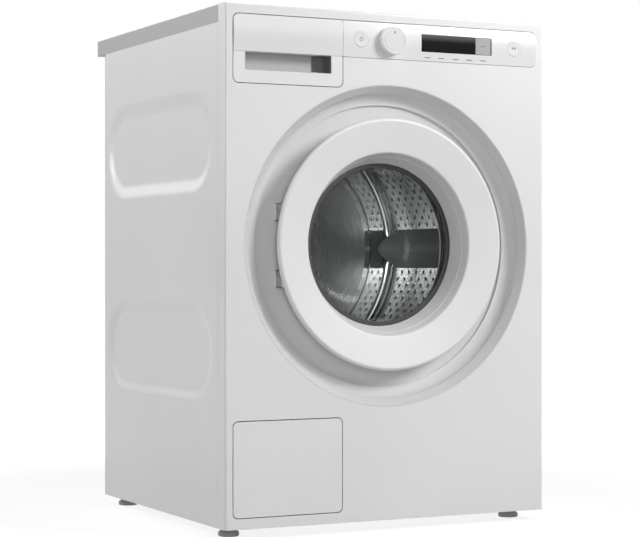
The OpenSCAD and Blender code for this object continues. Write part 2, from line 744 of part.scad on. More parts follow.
module tub_front() color("lightgray") from_front() difference() {
    union() {
        turned([[neck_r - 3.5, 78], [neck_r, 78], [neck_r, tub_y[0]], [tub_r, tub_y[0]],
            [tub_r, tub_y[1] - 8], [seam_r, tub_y[1] - 8], [seam_r, tub_y[1]],
            [tub_in, tub_y[1]], [tub_in, tub_y[0] + 4], [neck_r - 3.5, tub_y[0] + 4]]);
        block(-60, 60, 110, 280, 190, 232);
        strut_lug(strut_y[0]);
        rod_z(hose_at[0], hose_at[1], 600, 668, 14);
        rod_x(-72, -59, sump_out[0], sump_out[1], 14);
    }
    tub_space();
    block(-56, 56, 114, 276, 194, 240);
    block(-26, 26, 104, 118, 199, 211);
}

module tub_rear() color("lightgray") from_front() difference() {
    hub_out = 52;
    hub_in = 42 + fit;
    union() {
        turned([[tub_in, tub_y[1]], [seam_r, tub_y[1]], [seam_r, tub_y[1] + 8],
            [tub_r, tub_y[1] + 8], [tub_r, tub_y[2]], [hub_out, tub_y[2]], [hub_out, hub_y[1]],
            [hub_in, hub_y[1]], [hub_in, hub_y[0] + 2], [hub_out, hub_y[0] + 2],
            [hub_out, tub_y[2] - 5], [tub_in, tub_y[2] - 5]]);
        strut_lug(strut_y[1]);
        translate([0, 0, axis_z]) for (a = [0:45:315]) rotate([0, a, 0])
            block(hub_out - 2, tub_r - 14, tub_y[2] - 1, tub_y[2] + 14, -2, 2);
        for (y = [332, 444])
            block(motor_at[0] - 25, motor_at[0] + 25, y, y + 14, motor_at[1] + 60, 250);
    }
    tub_space();
}

// A bent heating rod on a plug that closes the opening of the sump
module heater() color("silver") from_front() {
    block(-32, 32, 104, 110, 196, 210.5);
    block(-25, 25, 109, 115, 200, 210);
    for (x = [-18, 18]) rod_y(x, 205, 98, 240, 4);
    translate([0, 240, 205]) rotate_extrude(angle = 180) translate([18, 0]) circle(4);
}

// Cast weights: a saddle on top of the tub and two arcs on its front
module counterweights() color("darkgray") from_front() {
    difference() {
        block(-75, 170, 150, 420, 660, 786);
        rod_y(0, axis_z, 100, 440, tub_r + loose);
        rod_y(0, axis_z, tub_y[1] - 9, tub_y[1] + 9, seam_r + 1);
    }
    for (a = [30, 210]) translate([0, 58, axis_z]) rotate([-90, 0, 0]) rotate([0, 0, -a - 120])
        rotate_extrude(angle = 120) translate([176, 0]) square([64, tub_y[0] - 58]);
}

module bearing_hub() color("silver") from_front() turned([
    [bearing_r[0] + 3.05, hub_y[0]], [bearing_r[0] + 3.05, seal_y], [bearing_r[0] + fit, seal_y],
    [bearing_r[0] + fit, 469], [22, 469], [22, 482], [bearing_r[1] + fit, 482],
    [bearing_r[1] + fit, hub_y[1]], [42, hub_y[1]], [42, hub_y[0]]]);

// A sealed ball bearing, with a shallow groove between its rings on each face
module bearing(r_in, r_out, y0, y1) {
    mid = (r_in + r_out) / 2;
    turned([[r_in, y0], [mid - 3, y0], [mid - 3, y0 + 1], [mid + 3, y0 + 1], [mid + 3, y0],
        [r_out, y0], [r_out, y1], [mid + 3, y1], [mid + 3, y1 - 1], [mid - 3, y1 - 1],
        [mid - 3, y1], [r_in, y1]]);
}

module bearings() color("silver") from_front() {
    bearing(shaft_r[0], bearing_r[0], seal_y, 469);
    bearing(shaft_r[1], bearing_r[1], 482, 497.8);
}

module shaft_seal() color("black") from_front() turned([
    [shaft_r[0], hub_y[0] + 0.5], [bearing_r[0] + 3, hub_y[0] + 0.5],
    [bearing_r[0] + 3, seal_y - 0.2], [shaft_r[0], seal_y - 0.2]]);

// ---- drive ----

module motor_body() color("dimgray") from_front() difference() {
    x = motor_at[0];
    z = motor_at[1];
    union() {
        rod_y(x, z, 330, 470, motor_r);
        for (y = [332, 444]) block(x - 25, x + 25, y, y + 14, z + 40, z + 60);
    }
    rod_y(x, z, 338, 462, motor_r - 8);
    rod_y(x, z, 320, 480, 8 + fit);
}

module motor_rotor() color("silver") from_front() {
    x = motor_at[0];
    z = motor_at[1];
    rod_y(x, z, 345, 455, motor_r - 12);
    rod_y(x, z, 325, 475, 8);
    rod_y(x, z, 474, pulley_y[1], shaft_r[3]);
}

module motor_pulley() color("gray") from_front() turned([
    [shaft_r[3] + fit, pulley_y[0]], [pinion_r, pulley_y[0]], [pinion_r, pulley_y[1]],
    [shaft_r[3] + fit, pulley_y[1]]], motor_at[0], motor_at[1]);

// The outline of the belt at a distance from both pulleys
module belt_outline(away) hull() {
    translate([0, axis_z]) circle(pulley_r + away);
    translate(motor_at) circle(pinion_r + away);
}

module drive_belt() color("black") from_front() plate(pulley_y[0] + 3, pulley_y[1] - 3) difference() {
    belt_outline(loose + belt_t);
    belt_outline(loose);
}

// ---- drum ----

module drum_shell() color("silver") from_front() {
    y0 = drum_y[0];
    y1 = drum_y[1];
    mid = y1 - drum_step;
    lip = drum_mouth_r;
    front = drum_r - 12;
    rear = drum_r - 18;
    turned(concat(
        [[lip, y0 - 4], [lip + drum_t, y0 - 4], [lip + drum_t, y0], [front, y0]],
        arc(front, y0 + 12, 12, 12, -90, 0, 4),
        arc(rear, y1 - 18, 18, 18, 0, 90, 4),
        [[196, y1], [182, mid], [26, mid], [26, mid - drum_t], [183, mid - drum_t], [197, y1 - drum_t]],
        arc(rear, y1 - 18, 18 - drum_t, 18 - drum_t, 90, 0, 4),
        arc(front, y0 + 12, 12 - drum_t, 12 - drum_t, 0, -90, 4),
        [[lip, y0 + drum_t]]));
}

// Lifters: ribs with sloping sides that stand on the drum's wall
module drum_lifters() color("gainsboro") from_front() {
    foot = drum_r - drum_t - 4;
    translate([0, 0, axis_z]) for (i = [0:lifters - 1]) rotate([0, 360 * i / lifters, 0])
        translate([0, drum_y[0] + 18, 0]) rotate([-90, 0, 0])
            linear_extrude(drum_y[1] - drum_y[0] - 44)
                polygon([[foot, -36], [foot, 36], [foot - 34, 13], [foot - 44, 0], [foot - 34, -13]]);
}

module drum_spider() color("gray") from_front() difference() {
    union() {
        rod_y(0, axis_z, drum_y[1] - drum_step, 444, 54);
        translate([0, 0, axis_z]) for (a = [0, 120, 240]) rotate([0, a, 0]) {
            block(56, drum_r - 20, drum_y[1], 452, -18, 18);
            block(40, 60, drum_y[1], 444, -18, 18);
        }
    }
    rod_y(0, axis_z, drum_y[1] - drum_step - 1, 460, shaft_r[0] + fit);
}

module drum_shaft() color("silver") from_front() turned([
    [0, drum_y[1] - drum_step - 6], [22, drum_y[1] - drum_step - 6], [22, drum_y[1] - drum_step],
    [shaft_r[0] - fit, drum_y[1] - drum_step],
    [shaft_r[0] - fit, 469.5], [shaft_r[1] - fit, 469.5], [shaft_r[1] - fit, 499],
    [shaft_r[2], 499], [shaft_r[2], pulley_y[1]], [17, pulley_y[1]], [17, pulley_y[1] + 3],
    [9, pulley_y[1] + 3], [9, pulley_y[1] + 9], [0, pulley_y[1] + 9]]);

module drum_pulley() color("gray") from_front() {
    difference() {
        union() {
            rod_y(0, axis_z, pulley_y[0], pulley_y[1], 26);
            translate([0, 0, axis_z]) for (a = [0:60:300]) rotate([0, a, 0])
                block(24, pulley_r - 5, pulley_y[0] + 4, pulley_y[1] - 4, -8, 8);
        }
        rod_y(0, axis_z, pulley_y[0] - 1, pulley_y[1] + 1, shaft_r[2] + fit);
    }
    turned([[pulley_r - 6, pulley_y[0]], [pulley_r, pulley_y[0]], [pulley_r, pulley_y[1]],
        [pulley_r - 6, pulley_y[1]]]);
}

// ---- service flap and screws ----

module service_flap() color("white") from_front() {
    plate(0, 3) polygon(outline(left_x, drawer_x - 0.6, flap_low_z, flap_z,
        [corner_r - gap, corner_r - gap, corner_r - gap, corner_r - gap]));
    for (x = [left_x, drawer_x - 0.6 - 4]) block(x, x + 4, 2.9, 8, flap_pivot_z - 4, flap_pivot_z + 4);
    rod_x(left_x - gap - 2.5, left_x + 1, 5, flap_pivot_z, flap_peg_r);
    rod_x(drawer_x - 2, drawer_x + gap + 2.5, 5, flap_pivot_z, flap_peg_r);
}

module screw(x, z, y) {
    rod_y(x, z, y, y + 3, 4.5);
    rod_y(x, z, y - 6, y + 0.1, screw_r);
}

// Screws of the rear cover and the rear panel
module screws() color("silver") from_front() {
    for (p = cover_screws) screw(p[0], p[1], panel_y + sheet);
    for (p = panel_screws) screw(p[0], p[1], panel_y);
}

side_panel_left();
side_panel_right();
rear_panel();
rear_cover();
base_tray();
front_panel();
worktop();
porthole_surround();
porthole_floor();
door_gasket();
hinge_bracket();
hinge_pin();
door_lock();
fascia();
display_window();
control_board();
drawer_housing();
inlet_valve();
tub_hoses();
drain_hose();
drain_spigot();
cord_gland();
pump_body();
filter_cap();
strut_cylinders();
strut_rods();
strut_springs();
screws();
tub_front();
tub_rear();
heater();
counterweights();
bearing_hub();
bearings();
shaft_seal();
motor_body();
motor_rotor();
motor_pulley();
drive_belt();
drum_shell();
drum_lifters();
drum_spider();
drum_shaft();
drum_pulley();
door_front_ring();
door_bezel();
door_back_frame();
door_glass();
door_hook();
drawer_front();
drawer_strip();
drawer_tray();
service_flap();
program_knob();
power_button();
start_button();
foot_front_left();
foot_front_right();
foot_rear_left();
foot_rear_right();
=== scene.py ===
import json
import math
from collections import namedtuple

import bmesh
import bpy
from mathutils import Matrix, Vector


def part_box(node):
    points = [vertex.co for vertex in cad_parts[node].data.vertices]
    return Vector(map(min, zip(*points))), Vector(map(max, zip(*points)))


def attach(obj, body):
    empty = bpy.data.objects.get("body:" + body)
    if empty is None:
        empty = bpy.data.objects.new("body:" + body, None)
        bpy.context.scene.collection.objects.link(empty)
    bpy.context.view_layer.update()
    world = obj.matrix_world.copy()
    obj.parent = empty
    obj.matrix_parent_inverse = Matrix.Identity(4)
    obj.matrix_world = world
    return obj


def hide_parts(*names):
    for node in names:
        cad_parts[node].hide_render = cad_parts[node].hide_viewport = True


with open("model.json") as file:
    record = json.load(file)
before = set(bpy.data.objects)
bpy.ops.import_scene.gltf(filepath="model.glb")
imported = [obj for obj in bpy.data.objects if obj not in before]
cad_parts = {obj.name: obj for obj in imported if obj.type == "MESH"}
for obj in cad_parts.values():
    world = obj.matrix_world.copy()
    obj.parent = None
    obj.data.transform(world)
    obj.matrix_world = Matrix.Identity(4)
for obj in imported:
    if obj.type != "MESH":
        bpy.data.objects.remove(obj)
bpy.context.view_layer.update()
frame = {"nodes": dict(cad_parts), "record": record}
nodes = frame["nodes"]
bodyOf = {node: body for body, held in frame["record"]["behaviour"]["bodies"].items() for node in held}
slotOf = {part["node"]: part["material_slot"] for part in frame["record"]["subparts"]}
mm = 0.001
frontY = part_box("front_panel")[0].y  # the plane of the cabinet's face
axisZ = (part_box("drum_shell")[0].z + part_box("drum_shell")[1].z) / 2 / mm
doorZ = (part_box("door_glass")[0].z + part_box("door_glass")[1].z) / 2 / mm
Span = namedtuple("Span", "x0 x1 d0 d1 z0 z1")


def spot(x, depth, z):  # millimetres across, behind the cabinet's face and up
    return Vector((x * mm, frontY + depth * mm, z * mm))


def span(node):  # a node's box in the same millimetres
    low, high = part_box(node)
    return Span(low.x / mm, high.x / mm, (low.y - frontY) / mm, (high.y - frontY) / mm,
                low.z / mm, high.z / mm)


def middleOf(node):  # the middle of a node's box, across and up
    box = span(node)
    return (box.x0 + box.x1) / 2, (box.z0 + box.z1) / 2


# The camera stands to the left of the door, level with the machine's middle
camera = dict(place=(-1.5, -3.002, 0.430), turn=26.75, lens=106.1, sensor=36)
eye = bpy.data.objects.new("eye", bpy.data.cameras.new("eye"))
bpy.context.collection.objects.link(eye)
eye.location = camera["place"]
eye.rotation_euler = (math.pi / 2, 0, -math.radians(camera["turn"]))
eye.data.lens = camera["lens"]
eye.data.sensor_width = camera["sensor"]
bpy.context.scene.camera = eye
print("camera placed")


class Wire:  # a shader socket that adds and multiplies like a number
    def __init__(self, paint, socket):
        self.paint = paint
        self.socket = socket

    def math(self, operation, *others):
        values = dict(enumerate((self, *others)))
        return self.paint.node("ShaderNodeMath", {"operation": operation}, values)

    def __add__(self, other):
        return self.math("ADD", other)

    def __sub__(self, other):
        return self.math("SUBTRACT", other)

    def __mul__(self, other):
        return self.math("MULTIPLY", other)

    def __pow__(self, other):
        return self.math("POWER", other)

    def __rsub__(self, other):
        return self * -1 + other

    def ease(self, low, high):  # 0 below low, 1 above high, smooth between
        return self.paint.node("ShaderNodeMapRange", {"interpolation_type": "SMOOTHSTEP"},
                               {"Value": self, "From Min": low, "From Max": high})


class Paint:  # one procedural material, or the nodes of the world
    def __init__(self, name, world=None):
        self.material = world or bpy.data.materials.new(name)
        self.material.use_nodes = True
        self.tree = self.material.node_tree
        self.tree.nodes.clear()
        self.place = self.node("ShaderNodeTexCoord", out="Generated" if world else "Object")

    def node(self, kind, settings=None, sockets=None, out=0):
        made = self.tree.nodes.new(kind)
        for key, value in (settings or {}).items():
            setattr(made, key, value)
        for key, value in (sockets or {}).items():
            if isinstance(value, Wire):
                self.tree.links.new(value.socket, made.inputs[key])
            else:
                made.inputs[key].default_value = value
        return Wire(self, made.outputs[out]) if made.outputs else None

    def parts(self):  # the three coordinates, in metres
        return [self.node("ShaderNodeSeparateXYZ", None, {0: self.place}, axis) for axis in range(3)]

    def noise(self, scale, detail=3, place=None):
        sockets = {"Vector": place or self.place, "Scale": scale, "Detail": detail}
        return self.node("ShaderNodeTexNoise", None, sockets)

    def cells(self, scale, out="Distance"):
        return self.node("ShaderNodeTexVoronoi", None, {"Vector": self.place, "Scale": scale}, out)

    def mix(self, factor, low, high):  # between two colours
        return self.node("ShaderNodeMix", {"data_type": "RGBA"}, {0: factor, 6: low, 7: high}, 2)

    def bump(self, height, reach):
        return self.node("ShaderNodeBump", None, {"Height": height, "Distance": reach, "Strength": 1})

    def shader(self, **sockets):
        names = {key.replace("_", " "): value for key, value in sockets.items()}
        return self.node("ShaderNodeBsdfPrincipled", None, names)

    def done(self, shader, output="ShaderNodeOutputMaterial"):
        self.node(output, None, {"Surface": shader})
        return self.material


def grey(level, tint=(1, 1, 1)):  # a display grey, 0 to 255, as a linear colour
    value = ((level / 255 + 0.055) / 1.055) ** 2.4
    return (*(value * t for t in tint), 1)


def enamel(name):  # white stove enamel with a fine orange peel under a thin clear coat
    form = dict(low=grey(236), high=grey(240), rough=0.27, vary=0.06, peel=0.00003, coat=0.25)
    paint = Paint(name)
    cloud = paint.noise(3, 2)
    skin = paint.noise(420, 2)
    return paint.done(paint.shader(
        Base_Color=paint.mix(cloud.ease(0.3, 0.7), form["low"], form["high"]),
        Roughness=paint.noise(60, 2) * form["vary"] + form["rough"],
        Normal=paint.bump(skin, form["peel"]), Coat_Weight=form["coat"], Coat_Roughness=0.08))


def moulded(name, low, high, rough, grain=0.00002, size=1500, coat=0.0, shine=0.5):  # grained plastic
    paint = Paint(name)
    colour = paint.mix(paint.noise(5, 3).ease(0.3, 0.7), low, high)
    return paint.done(paint.shader(
        Base_Color=colour, Specular_IOR_Level=shine, Roughness=paint.noise(90, 3) * 0.08 + rough - 0.04,
        Normal=paint.bump(paint.noise(size, 2), grain), Coat_Weight=coat, Coat_Roughness=0.05))


def stainless(name, polished=None):  # brushed round the drum's axis, bright beyond a given radius
    form = dict(low=grey(196), high=grey(232), fine=900, long=2.5, rough=0.2, vary=0.18, relief=0.00003)
    paint = Paint(name)
    x, y, z = paint.parts()
    up = z - axisZ * mm
    radius = (x * x + up * up) ** 0.5
    turn = x.math("ARCTAN2", up)
    along = {0: radius * form["fine"], 1: y * form["fine"], 2: turn * form["long"]}
    streaks = paint.noise(1, 4, paint.node("ShaderNodeCombineXYZ", None, along))
    rough = streaks * form["vary"] + form["rough"]
    if polished:
        rough = rough * (1 - radius.ease(polished - 3 * mm, polished) * 0.8)
    return paint.done(paint.shader(
        Base_Color=paint.mix(streaks, form["low"], form["high"]), Metallic=0.9, Roughness=rough,
        Normal=paint.bump(streaks, form["relief"])))


def galvanized(name):  # zinc spangle on sheet and turned steel
    form = dict(low=grey(176), high=grey(206), spangle=240, contrast=0.5, rough=0.38, relief=0.00002)
    paint = Paint(name)
    flakes = paint.cells(form["spangle"], "Color")
    shade = paint.node("ShaderNodeSeparateColor", None, {0: flakes})
    level = shade * form["contrast"] + (1 - form["contrast"]) / 2
    return paint.done(paint.shader(
        Base_Color=paint.mix(level, form["low"], form["high"]), Metallic=0.9,
        Roughness=shade * 0.06 + form["rough"], Normal=paint.bump(paint.noise(500, 3), form["relief"])))


def castMetal(name):  # sand-cast aluminium with a coarse grain
    paint = Paint(name)
    grain = paint.noise(350, 4)
    return paint.done(paint.shader(
        Base_Color=paint.mix(grain, grey(150), grey(182)), Metallic=0.85, Roughness=grain * 0.2 + 0.4,
        Normal=paint.bump(grain, 0.00012)))


def rubber(name, low, high):  # with a faint cloudy bloom
    paint = Paint(name)
    bloom = paint.noise(14, 4).ease(0.35, 0.75)
    return paint.done(paint.shader(
        Base_Color=paint.mix(bloom, low, high), Roughness=bloom * 0.15 + 0.5,
        Normal=paint.bump(paint.noise(900, 2), 0.00003), Sheen_Weight=0.15))


def concrete(name):  # pebbles and sand, warm grey
    paint = Paint(name)
    stone = paint.cells(160)
    sand = paint.noise(600, 5)
    dark, pale = grey(118, (1, 0.97, 0.92)), grey(172, (1, 0.98, 0.95))
    return paint.done(paint.shader(
        Base_Color=paint.mix(stone * 0.6 + sand * 0.4, dark, pale),
        Roughness=sand * 0.15 + 0.78, Normal=paint.bump(sand + stone, 0.0004)))


def circuitGreen(name):  # a board's lacquer over straight tracks
    paint = Paint(name)
    bricks = {"Vector": paint.place, "Scale": 60, "Mortar Size": 0.03}
    tracks = paint.node("ShaderNodeTexBrick", None, bricks, "Fac")
    return paint.done(paint.shader(
        Base_Color=paint.mix(tracks, (0.01, 0.1, 0.035, 1), (0.05, 0.2, 0.08, 1)),
        Roughness=tracks * 0.1 + 0.25, Normal=paint.bump(tracks, 0.00003), Coat_Weight=0.3))


def displayBlack(name):  # a dark window, lightened towards its upper edge by a painted reflection
    form = dict(low=grey(16), high=grey(100), start=0.55, shine=0.14)
    low, high = (corner.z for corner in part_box("display_window"))
    paint = Paint(name)
    # painted reflection: the window's colour lightens towards its upper edge
    paintedReflection = paint.parts()[2].ease(low + form["start"] * (high - low), high)
    return paint.done(paint.shader(
        Base_Color=paint.mix(paintedReflection, form["low"], form["high"]), Specular_IOR_Level=form["shine"],
        Roughness=paint.noise(40, 2) * 0.03 + 0.08))


def laminate(name):  # a white worktop with a greyer band of painted shade along its side edges
    form = dict(low=grey(233), high=grey(238), edge=grey(176), shadeBand=(1.6 * mm, 0.9 * mm))
    paint = Paint(name)
    x = paint.parts()[0]
    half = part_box("worktop")[1].x
    # painted shade: a darker grey along the worktop's side edges
    shadeBand = (x * x).ease(*((half - inward) ** 2 for inward in form["shadeBand"]))
    face = paint.mix(paint.noise(5, 3).ease(0.3, 0.7), form["low"], form["high"])
    return paint.done(paint.shader(
        Base_Color=paint.mix(shadeBand, face, form["edge"]), Roughness=paint.noise(90, 3) * 0.08 + 0.41,
        Normal=paint.bump(paint.noise(700, 2), 0.00002)))


def pocketShadedGrey(name, start):  # the lining of the drawer's grip, grey, with painted shade darkening its deep end
    form = dict(low=grey(186), high=grey(128), blend=3 * mm)
    paint = Paint(name)
    # painted shade: darker from the pocket's deep end on
    shade = paint.mix(paint.parts()[0].ease(start, start + form["blend"]), form["low"], form["high"])
    return paint.done(paint.shader(Base_Color=shade, Roughness=paint.noise(60, 2) * 0.1 + 0.45))


def pressedGlass(name):  # clear where it faces you, a mirror where it is seen along its wall
    form = dict(clear=(0.86, 0.87, 0.87, 1), mirror=(0.55, 0.57, 0.6, 1), slant=4, most=0.8, least=0.008)
    paint = Paint(name)
    waves = paint.bump(paint.noise(9, 2), 0.0006)
    clear = paint.node("ShaderNodeBsdfTransparent", None, {"Color": form["clear"]})
    mirror = paint.shader(Base_Color=form["mirror"], Metallic=1, Roughness=0.02, Normal=waves)
    facing = paint.node("ShaderNodeLayerWeight", None, {"Blend": 0.5, "Normal": waves}, "Facing")
    share = facing ** form["slant"] * form["most"] + form["least"]
    return paint.done(paint.node("ShaderNodeMixShader", None, {0: share, 1: clear, 2: mirror}))


finishes = {  # most by their slot's name, the others for pieces that stand out within their slot
    "white_enamel": enamel("white_enamel"),
    "white_plastic": moulded("white_plastic", grey(236), grey(240), 0.42, 0.00001),
    # painted shade: the recess's plastic is greyer than the panels to deepen the recess, and it shines less
    "recess_shaded_plastic": moulded("recess_shaded_plastic", grey(220), grey(226), 0.5, 0.00001, shine=0.12),
    "gloss_white": moulded("gloss_white", grey(238), grey(242), 0.14, 0.000002, size=300, coat=0.5),
    "worktop_white": laminate("worktop_white"),
    "grey_plastic": moulded("grey_plastic", grey(196), grey(206), 0.45),
    "tub_plastic": moulded("tub_plastic", grey(212), grey(222), 0.5, 0.00005, size=500),
    "dark_plastic": moulded("dark_plastic", grey(56), grey(70), 0.42, 0.00003),
    "display_black": displayBlack("display_black"),
    "glass": pressedGlass("glass"),
    "gasket_rubber": rubber("gasket_rubber", grey(84), grey(104)),
    "black_rubber": rubber("black_rubber", grey(28), grey(44)),
    "stainless": stainless("stainless"),
    "zinc_steel": galvanized("zinc_steel"),
    "cast_aluminium": castMetal("cast_aluminium"),
    "board_green": circuitGreen("board_green"),
    "concrete": concrete("concrete"),
    "foot_grey": moulded("foot_grey", grey(166), grey(178), 0.45),
    "silver_field": moulded("silver_field", grey(156, (0.97, 1, 1.03)), grey(170, (0.97, 1, 1.03)), 0.35,
                            0.00001),
    "grey_ink": moulded("grey_ink", grey(72), grey(84), 0.5, 0.000002),
}
print("finishes made")


def rounded(corners, steps=8):  # a closed outline from corners, each with how far it is rounded off
    sheet = bmesh.new()
    verts = [sheet.verts.new((a, b, 0)) for a, b, cut in corners]
    sheet.faces.new(verts)
    for vert, (a, b, cut) in zip(verts, corners):
        if cut:
            bmesh.ops.bevel(sheet, geom=[vert], offset=cut, segments=steps, profile=0.5,
                            affect="VERTICES", material=-1, clamp_overlap=False)
    sheet.faces.ensure_lookup_table()
    points = [(v.co.x, v.co.y) for v in sheet.faces[0].verts]
    sheet.free()
    return points


def roundedBox(x0, x1, z0, z1, cuts, steps=8):  # cuts: lower left, lower right, upper right, upper left
    cuts = cuts if isinstance(cuts, (list, tuple)) else [cuts] * 4
    corners = [(x0, z0), (x1, z0), (x1, z1), (x0, z1)]
    return rounded([(*corner, cut) for corner, cut in zip(corners, cuts)], steps)


def frontOf(box, inward, cuts, steps=8):  # a box's front outline, drawn in on all sides
    return roundedBox(box.x0 + inward, box.x1 - inward, box.z0 + inward, box.z1 - inward, cuts, steps)


def circle(x, z, radius, steps=96):  # a round outline
    disc = bmesh.new()
    bmesh.ops.create_circle(disc, cap_ends=False, segments=steps, radius=radius)
    points = [(x + v.co.x, z + v.co.y) for v in disc.verts]
    disc.free()
    return points


def arc(x, y, rx, ry, start, end, steps=12):  # from one angle to another, in degrees
    turns = [math.radians(start + (end - start) * i / steps) for i in range(steps + 1)]
    return [(x + rx * math.cos(t), y + ry * math.sin(t)) for t in turns]


def loopOf(bm, points):  # a closed loop of edges
    verts = [bm.verts.new(p) for p in points]
    return [bm.edges.new(pair) for pair in zip(verts, verts[1:] + verts[:1])]


def push(bm, faces, vec):  # extrudes faces and moves the new ones
    made = bmesh.ops.extrude_face_region(bm, geom=faces)
    moved = [part for part in made["geom"] if isinstance(part, bmesh.types.BMVert)]
    bmesh.ops.translate(bm, vec=vec, verts=moved)


def prism(outline, d0, d1):  # an outline across and up, made solid from one depth to another
    bm = bmesh.new()
    bm.faces.new([bm.verts.new(spot(x, d0, z)) for x, z in outline])
    push(bm, bm.faces[:], (0, (d1 - d0) * mm, 0))
    return bm


def bar(section, x0, x1):  # a section in depth and height, made solid from x0 to x1
    bm = bmesh.new()
    bm.faces.new([bm.verts.new(spot(x0, depth, z)) for depth, z in section])
    push(bm, bm.faces[:], ((x1 - x0) * mm, 0, 0))
    return bm


def block(x0, x1, d0, d1, z0, z1):  # a plain box, in the order of a span
    bm = bmesh.new()
    bmesh.ops.create_cube(bm, size=1)
    bmesh.ops.scale(bm, vec=((x1 - x0) * mm, (d1 - d0) * mm, (z1 - z0) * mm), verts=bm.verts[:])
    bmesh.ops.translate(bm, vec=spot((x0 + x1) / 2, (d0 + d1) / 2, (z0 + z1) / 2), verts=bm.verts[:])
    return bm


def edgesAt(bm, x=None, depth=None, z=None):  # edges that lie at the given places
    goal = spot(x or 0, depth or 0, z or 0)
    axes = [axis for axis, value in enumerate((x, depth, z)) if value is not None]
    return [e for e in bm.edges
            if all(abs(v.co[a] - goal[a]) < 0.01 * mm for v in e.verts for a in axes)]


def soften(bm, edges, radius, steps=4):  # rounds the given edges off
    bmesh.ops.bevel(bm, geom=edges, offset=radius * mm, segments=steps, profile=0.5,
                    affect="EDGES", material=-1, clamp_overlap=False)


def spin(bm, edges, centre, axis, steps):  # a closed loop of edges, turned once round an axis
    bmesh.ops.spin(bm, geom=bm.verts[:] + edges, cent=centre, axis=axis, dvec=(0, 0, 0),
                   angle=2 * math.pi, steps=steps, use_merge=True, use_duplicate=False)
    bmesh.ops.remove_doubles(bm, verts=bm.verts[:], dist=0.005 * mm)


def lathe(profile, x=0, z=axisZ, steps=144):  # a closed profile of radius and depth, turned about an axis
    bm = bmesh.new()
    edges = loopOf(bm, [spot(x + radius, depth, z) for radius, depth in profile])
    spin(bm, edges, spot(x, 0, z), (0, 1, 0), steps)
    bmesh.ops.recalc_face_normals(bm, faces=bm.faces[:])
    return bm


def together(*parts):  # several shells in one mesh
    whole = parts[0]
    for part in parts[1:]:
        mesh = bpy.data.meshes.new("part")
        part.to_mesh(mesh)
        part.free()
        whole.from_mesh(mesh)
        bpy.data.meshes.remove(mesh)
    return whole


def asObject(bm):  # a mesh as an object of its own, for a boolean or the floor
    bmesh.ops.recalc_face_normals(bm, faces=bm.faces[:])
    mesh = bpy.data.meshes.new("tool")
    bm.to_mesh(mesh)
    bm.free()
    thing = bpy.data.objects.new("tool", mesh)
    bpy.context.collection.objects.link(thing)
    return thing


def combine(bm, *tools, how="DIFFERENCE"):  # cuts tools out of a mesh, keeps what they share, or unites them
    for tool in tools:
        things = [asObject(bm), asObject(tool)]
        cut = things[0].modifiers.new("cut", "BOOLEAN")
        cut.operation = how
        cut.solver = "EXACT"
        cut.object = things[1]
        ready = things[0].evaluated_get(bpy.context.evaluated_depsgraph_get())
        mesh = bpy.data.meshes.new_from_object(ready)
        bm = bmesh.new()
        bm.from_mesh(mesh)
        for data in [mesh, *(thing.data for thing in things)]:
            bpy.data.meshes.remove(data)
    return bm


# Shades a mesh, gives it its finish, hides the nodes it covers and hangs it on the body it rides
def finishPiece(name, bm, covers=(), body=None, slot=None, edge=0.0, sharp=32, finish=None):
    covers = [covers] if isinstance(covers, str) else covers
    slot = slot or slotOf[covers[0]]
    bmesh.ops.remove_doubles(bm, verts=bm.verts[:], dist=0.002 * mm)
    bmesh.ops.recalc_face_normals(bm, faces=bm.faces[:])
    for face in bm.faces:
        face.smooth = True
    for line in bm.edges:
        line.smooth = line.calc_face_angle(0) < math.radians(sharp)
    mesh = bpy.data.meshes.new(name)
    bm.to_mesh(mesh)
    bm.free()
    piece = bpy.data.objects.new(name, mesh)
    bpy.context.collection.objects.link(piece)
    mesh.materials.append(finish or finishes[slot])
    if edge:
        rim = piece.modifiers.new("rim", "BEVEL")
        rim.width = edge * mm
        rim.segments = 2
        rim.limit_method = "ANGLE"
        rim.angle_limit = math.radians(sharp)
    even = piece.modifiers.new("even", "WEIGHTED_NORMAL")
    even.keep_sharp = True
    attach(piece, body or bodyOf[covers[0]])
    if covers:
        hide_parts(*covers)
    return piece


lipUnder = 6.3  # how far the recess's hidden flange reaches under the front panel
through = (-6, 12)  # cutters of the strips reach from before their faces to behind them
hinge = dict(apart=54, half=15, inner=-180.5, outer=-193.5)  # the slots of its arms, from the drum's axis


def frontPanel():
    form = dict(sheet=1.2, round=4.5, gap=1.2, corner=10.5, reach=(-3, 10), edge=0.25)
    box, surround = span("front_panel"), span("porthole_surround")
    drawer, strip = span("drawer_front"), span("drawer_strip")
    fascia, flap = span("fascia"), span("service_flap")
    gap, corner = form["gap"], form["corner"]

    def shell(inward, back):  # the panel as a block, drawn in, with its outer edges rounded
        bm = block(box.x0 + inward, box.x1 - inward, box.d0 + inward, back, box.z0 + inward, box.z1 - inward)
        rims = (edgesAt(bm, box.x0 + inward, box.d0 + inward) + edgesAt(bm, box.x1 - inward, box.d0 + inward)
                + edgesAt(bm, None, box.d0 + inward, box.z1 - inward))
        soften(bm, rims, form["round"] - inward, 6)
        return bm

    openings = [
        circle(0, axisZ, (surround.z1 - surround.z0) / 2 - lipUnder + 0.4, 192),
        roundedBox(drawer.x0 - gap, drawer.x1 + gap, drawer.z0 - gap, strip.z1 + gap,
                   [corner, corner, 0, corner]),
        roundedBox(drawer.x1 - 1, fascia.x1 + gap / 2, fascia.z0 - gap / 2, strip.z1 + gap,
                   [0, corner, corner, 0]),
        roundedBox(drawer.x0 - gap, drawer.x1 + 0.4, flap.z0 - gap, flap.z1 + gap, corner - 1)]
    bm = combine(shell(0, box.d1), shell(form["sheet"], box.d1 + 1),
                 *(prism(outline, *form["reach"]) for outline in openings))
    finishPiece("front_shell", bm, "front_panel", edge=form["edge"])


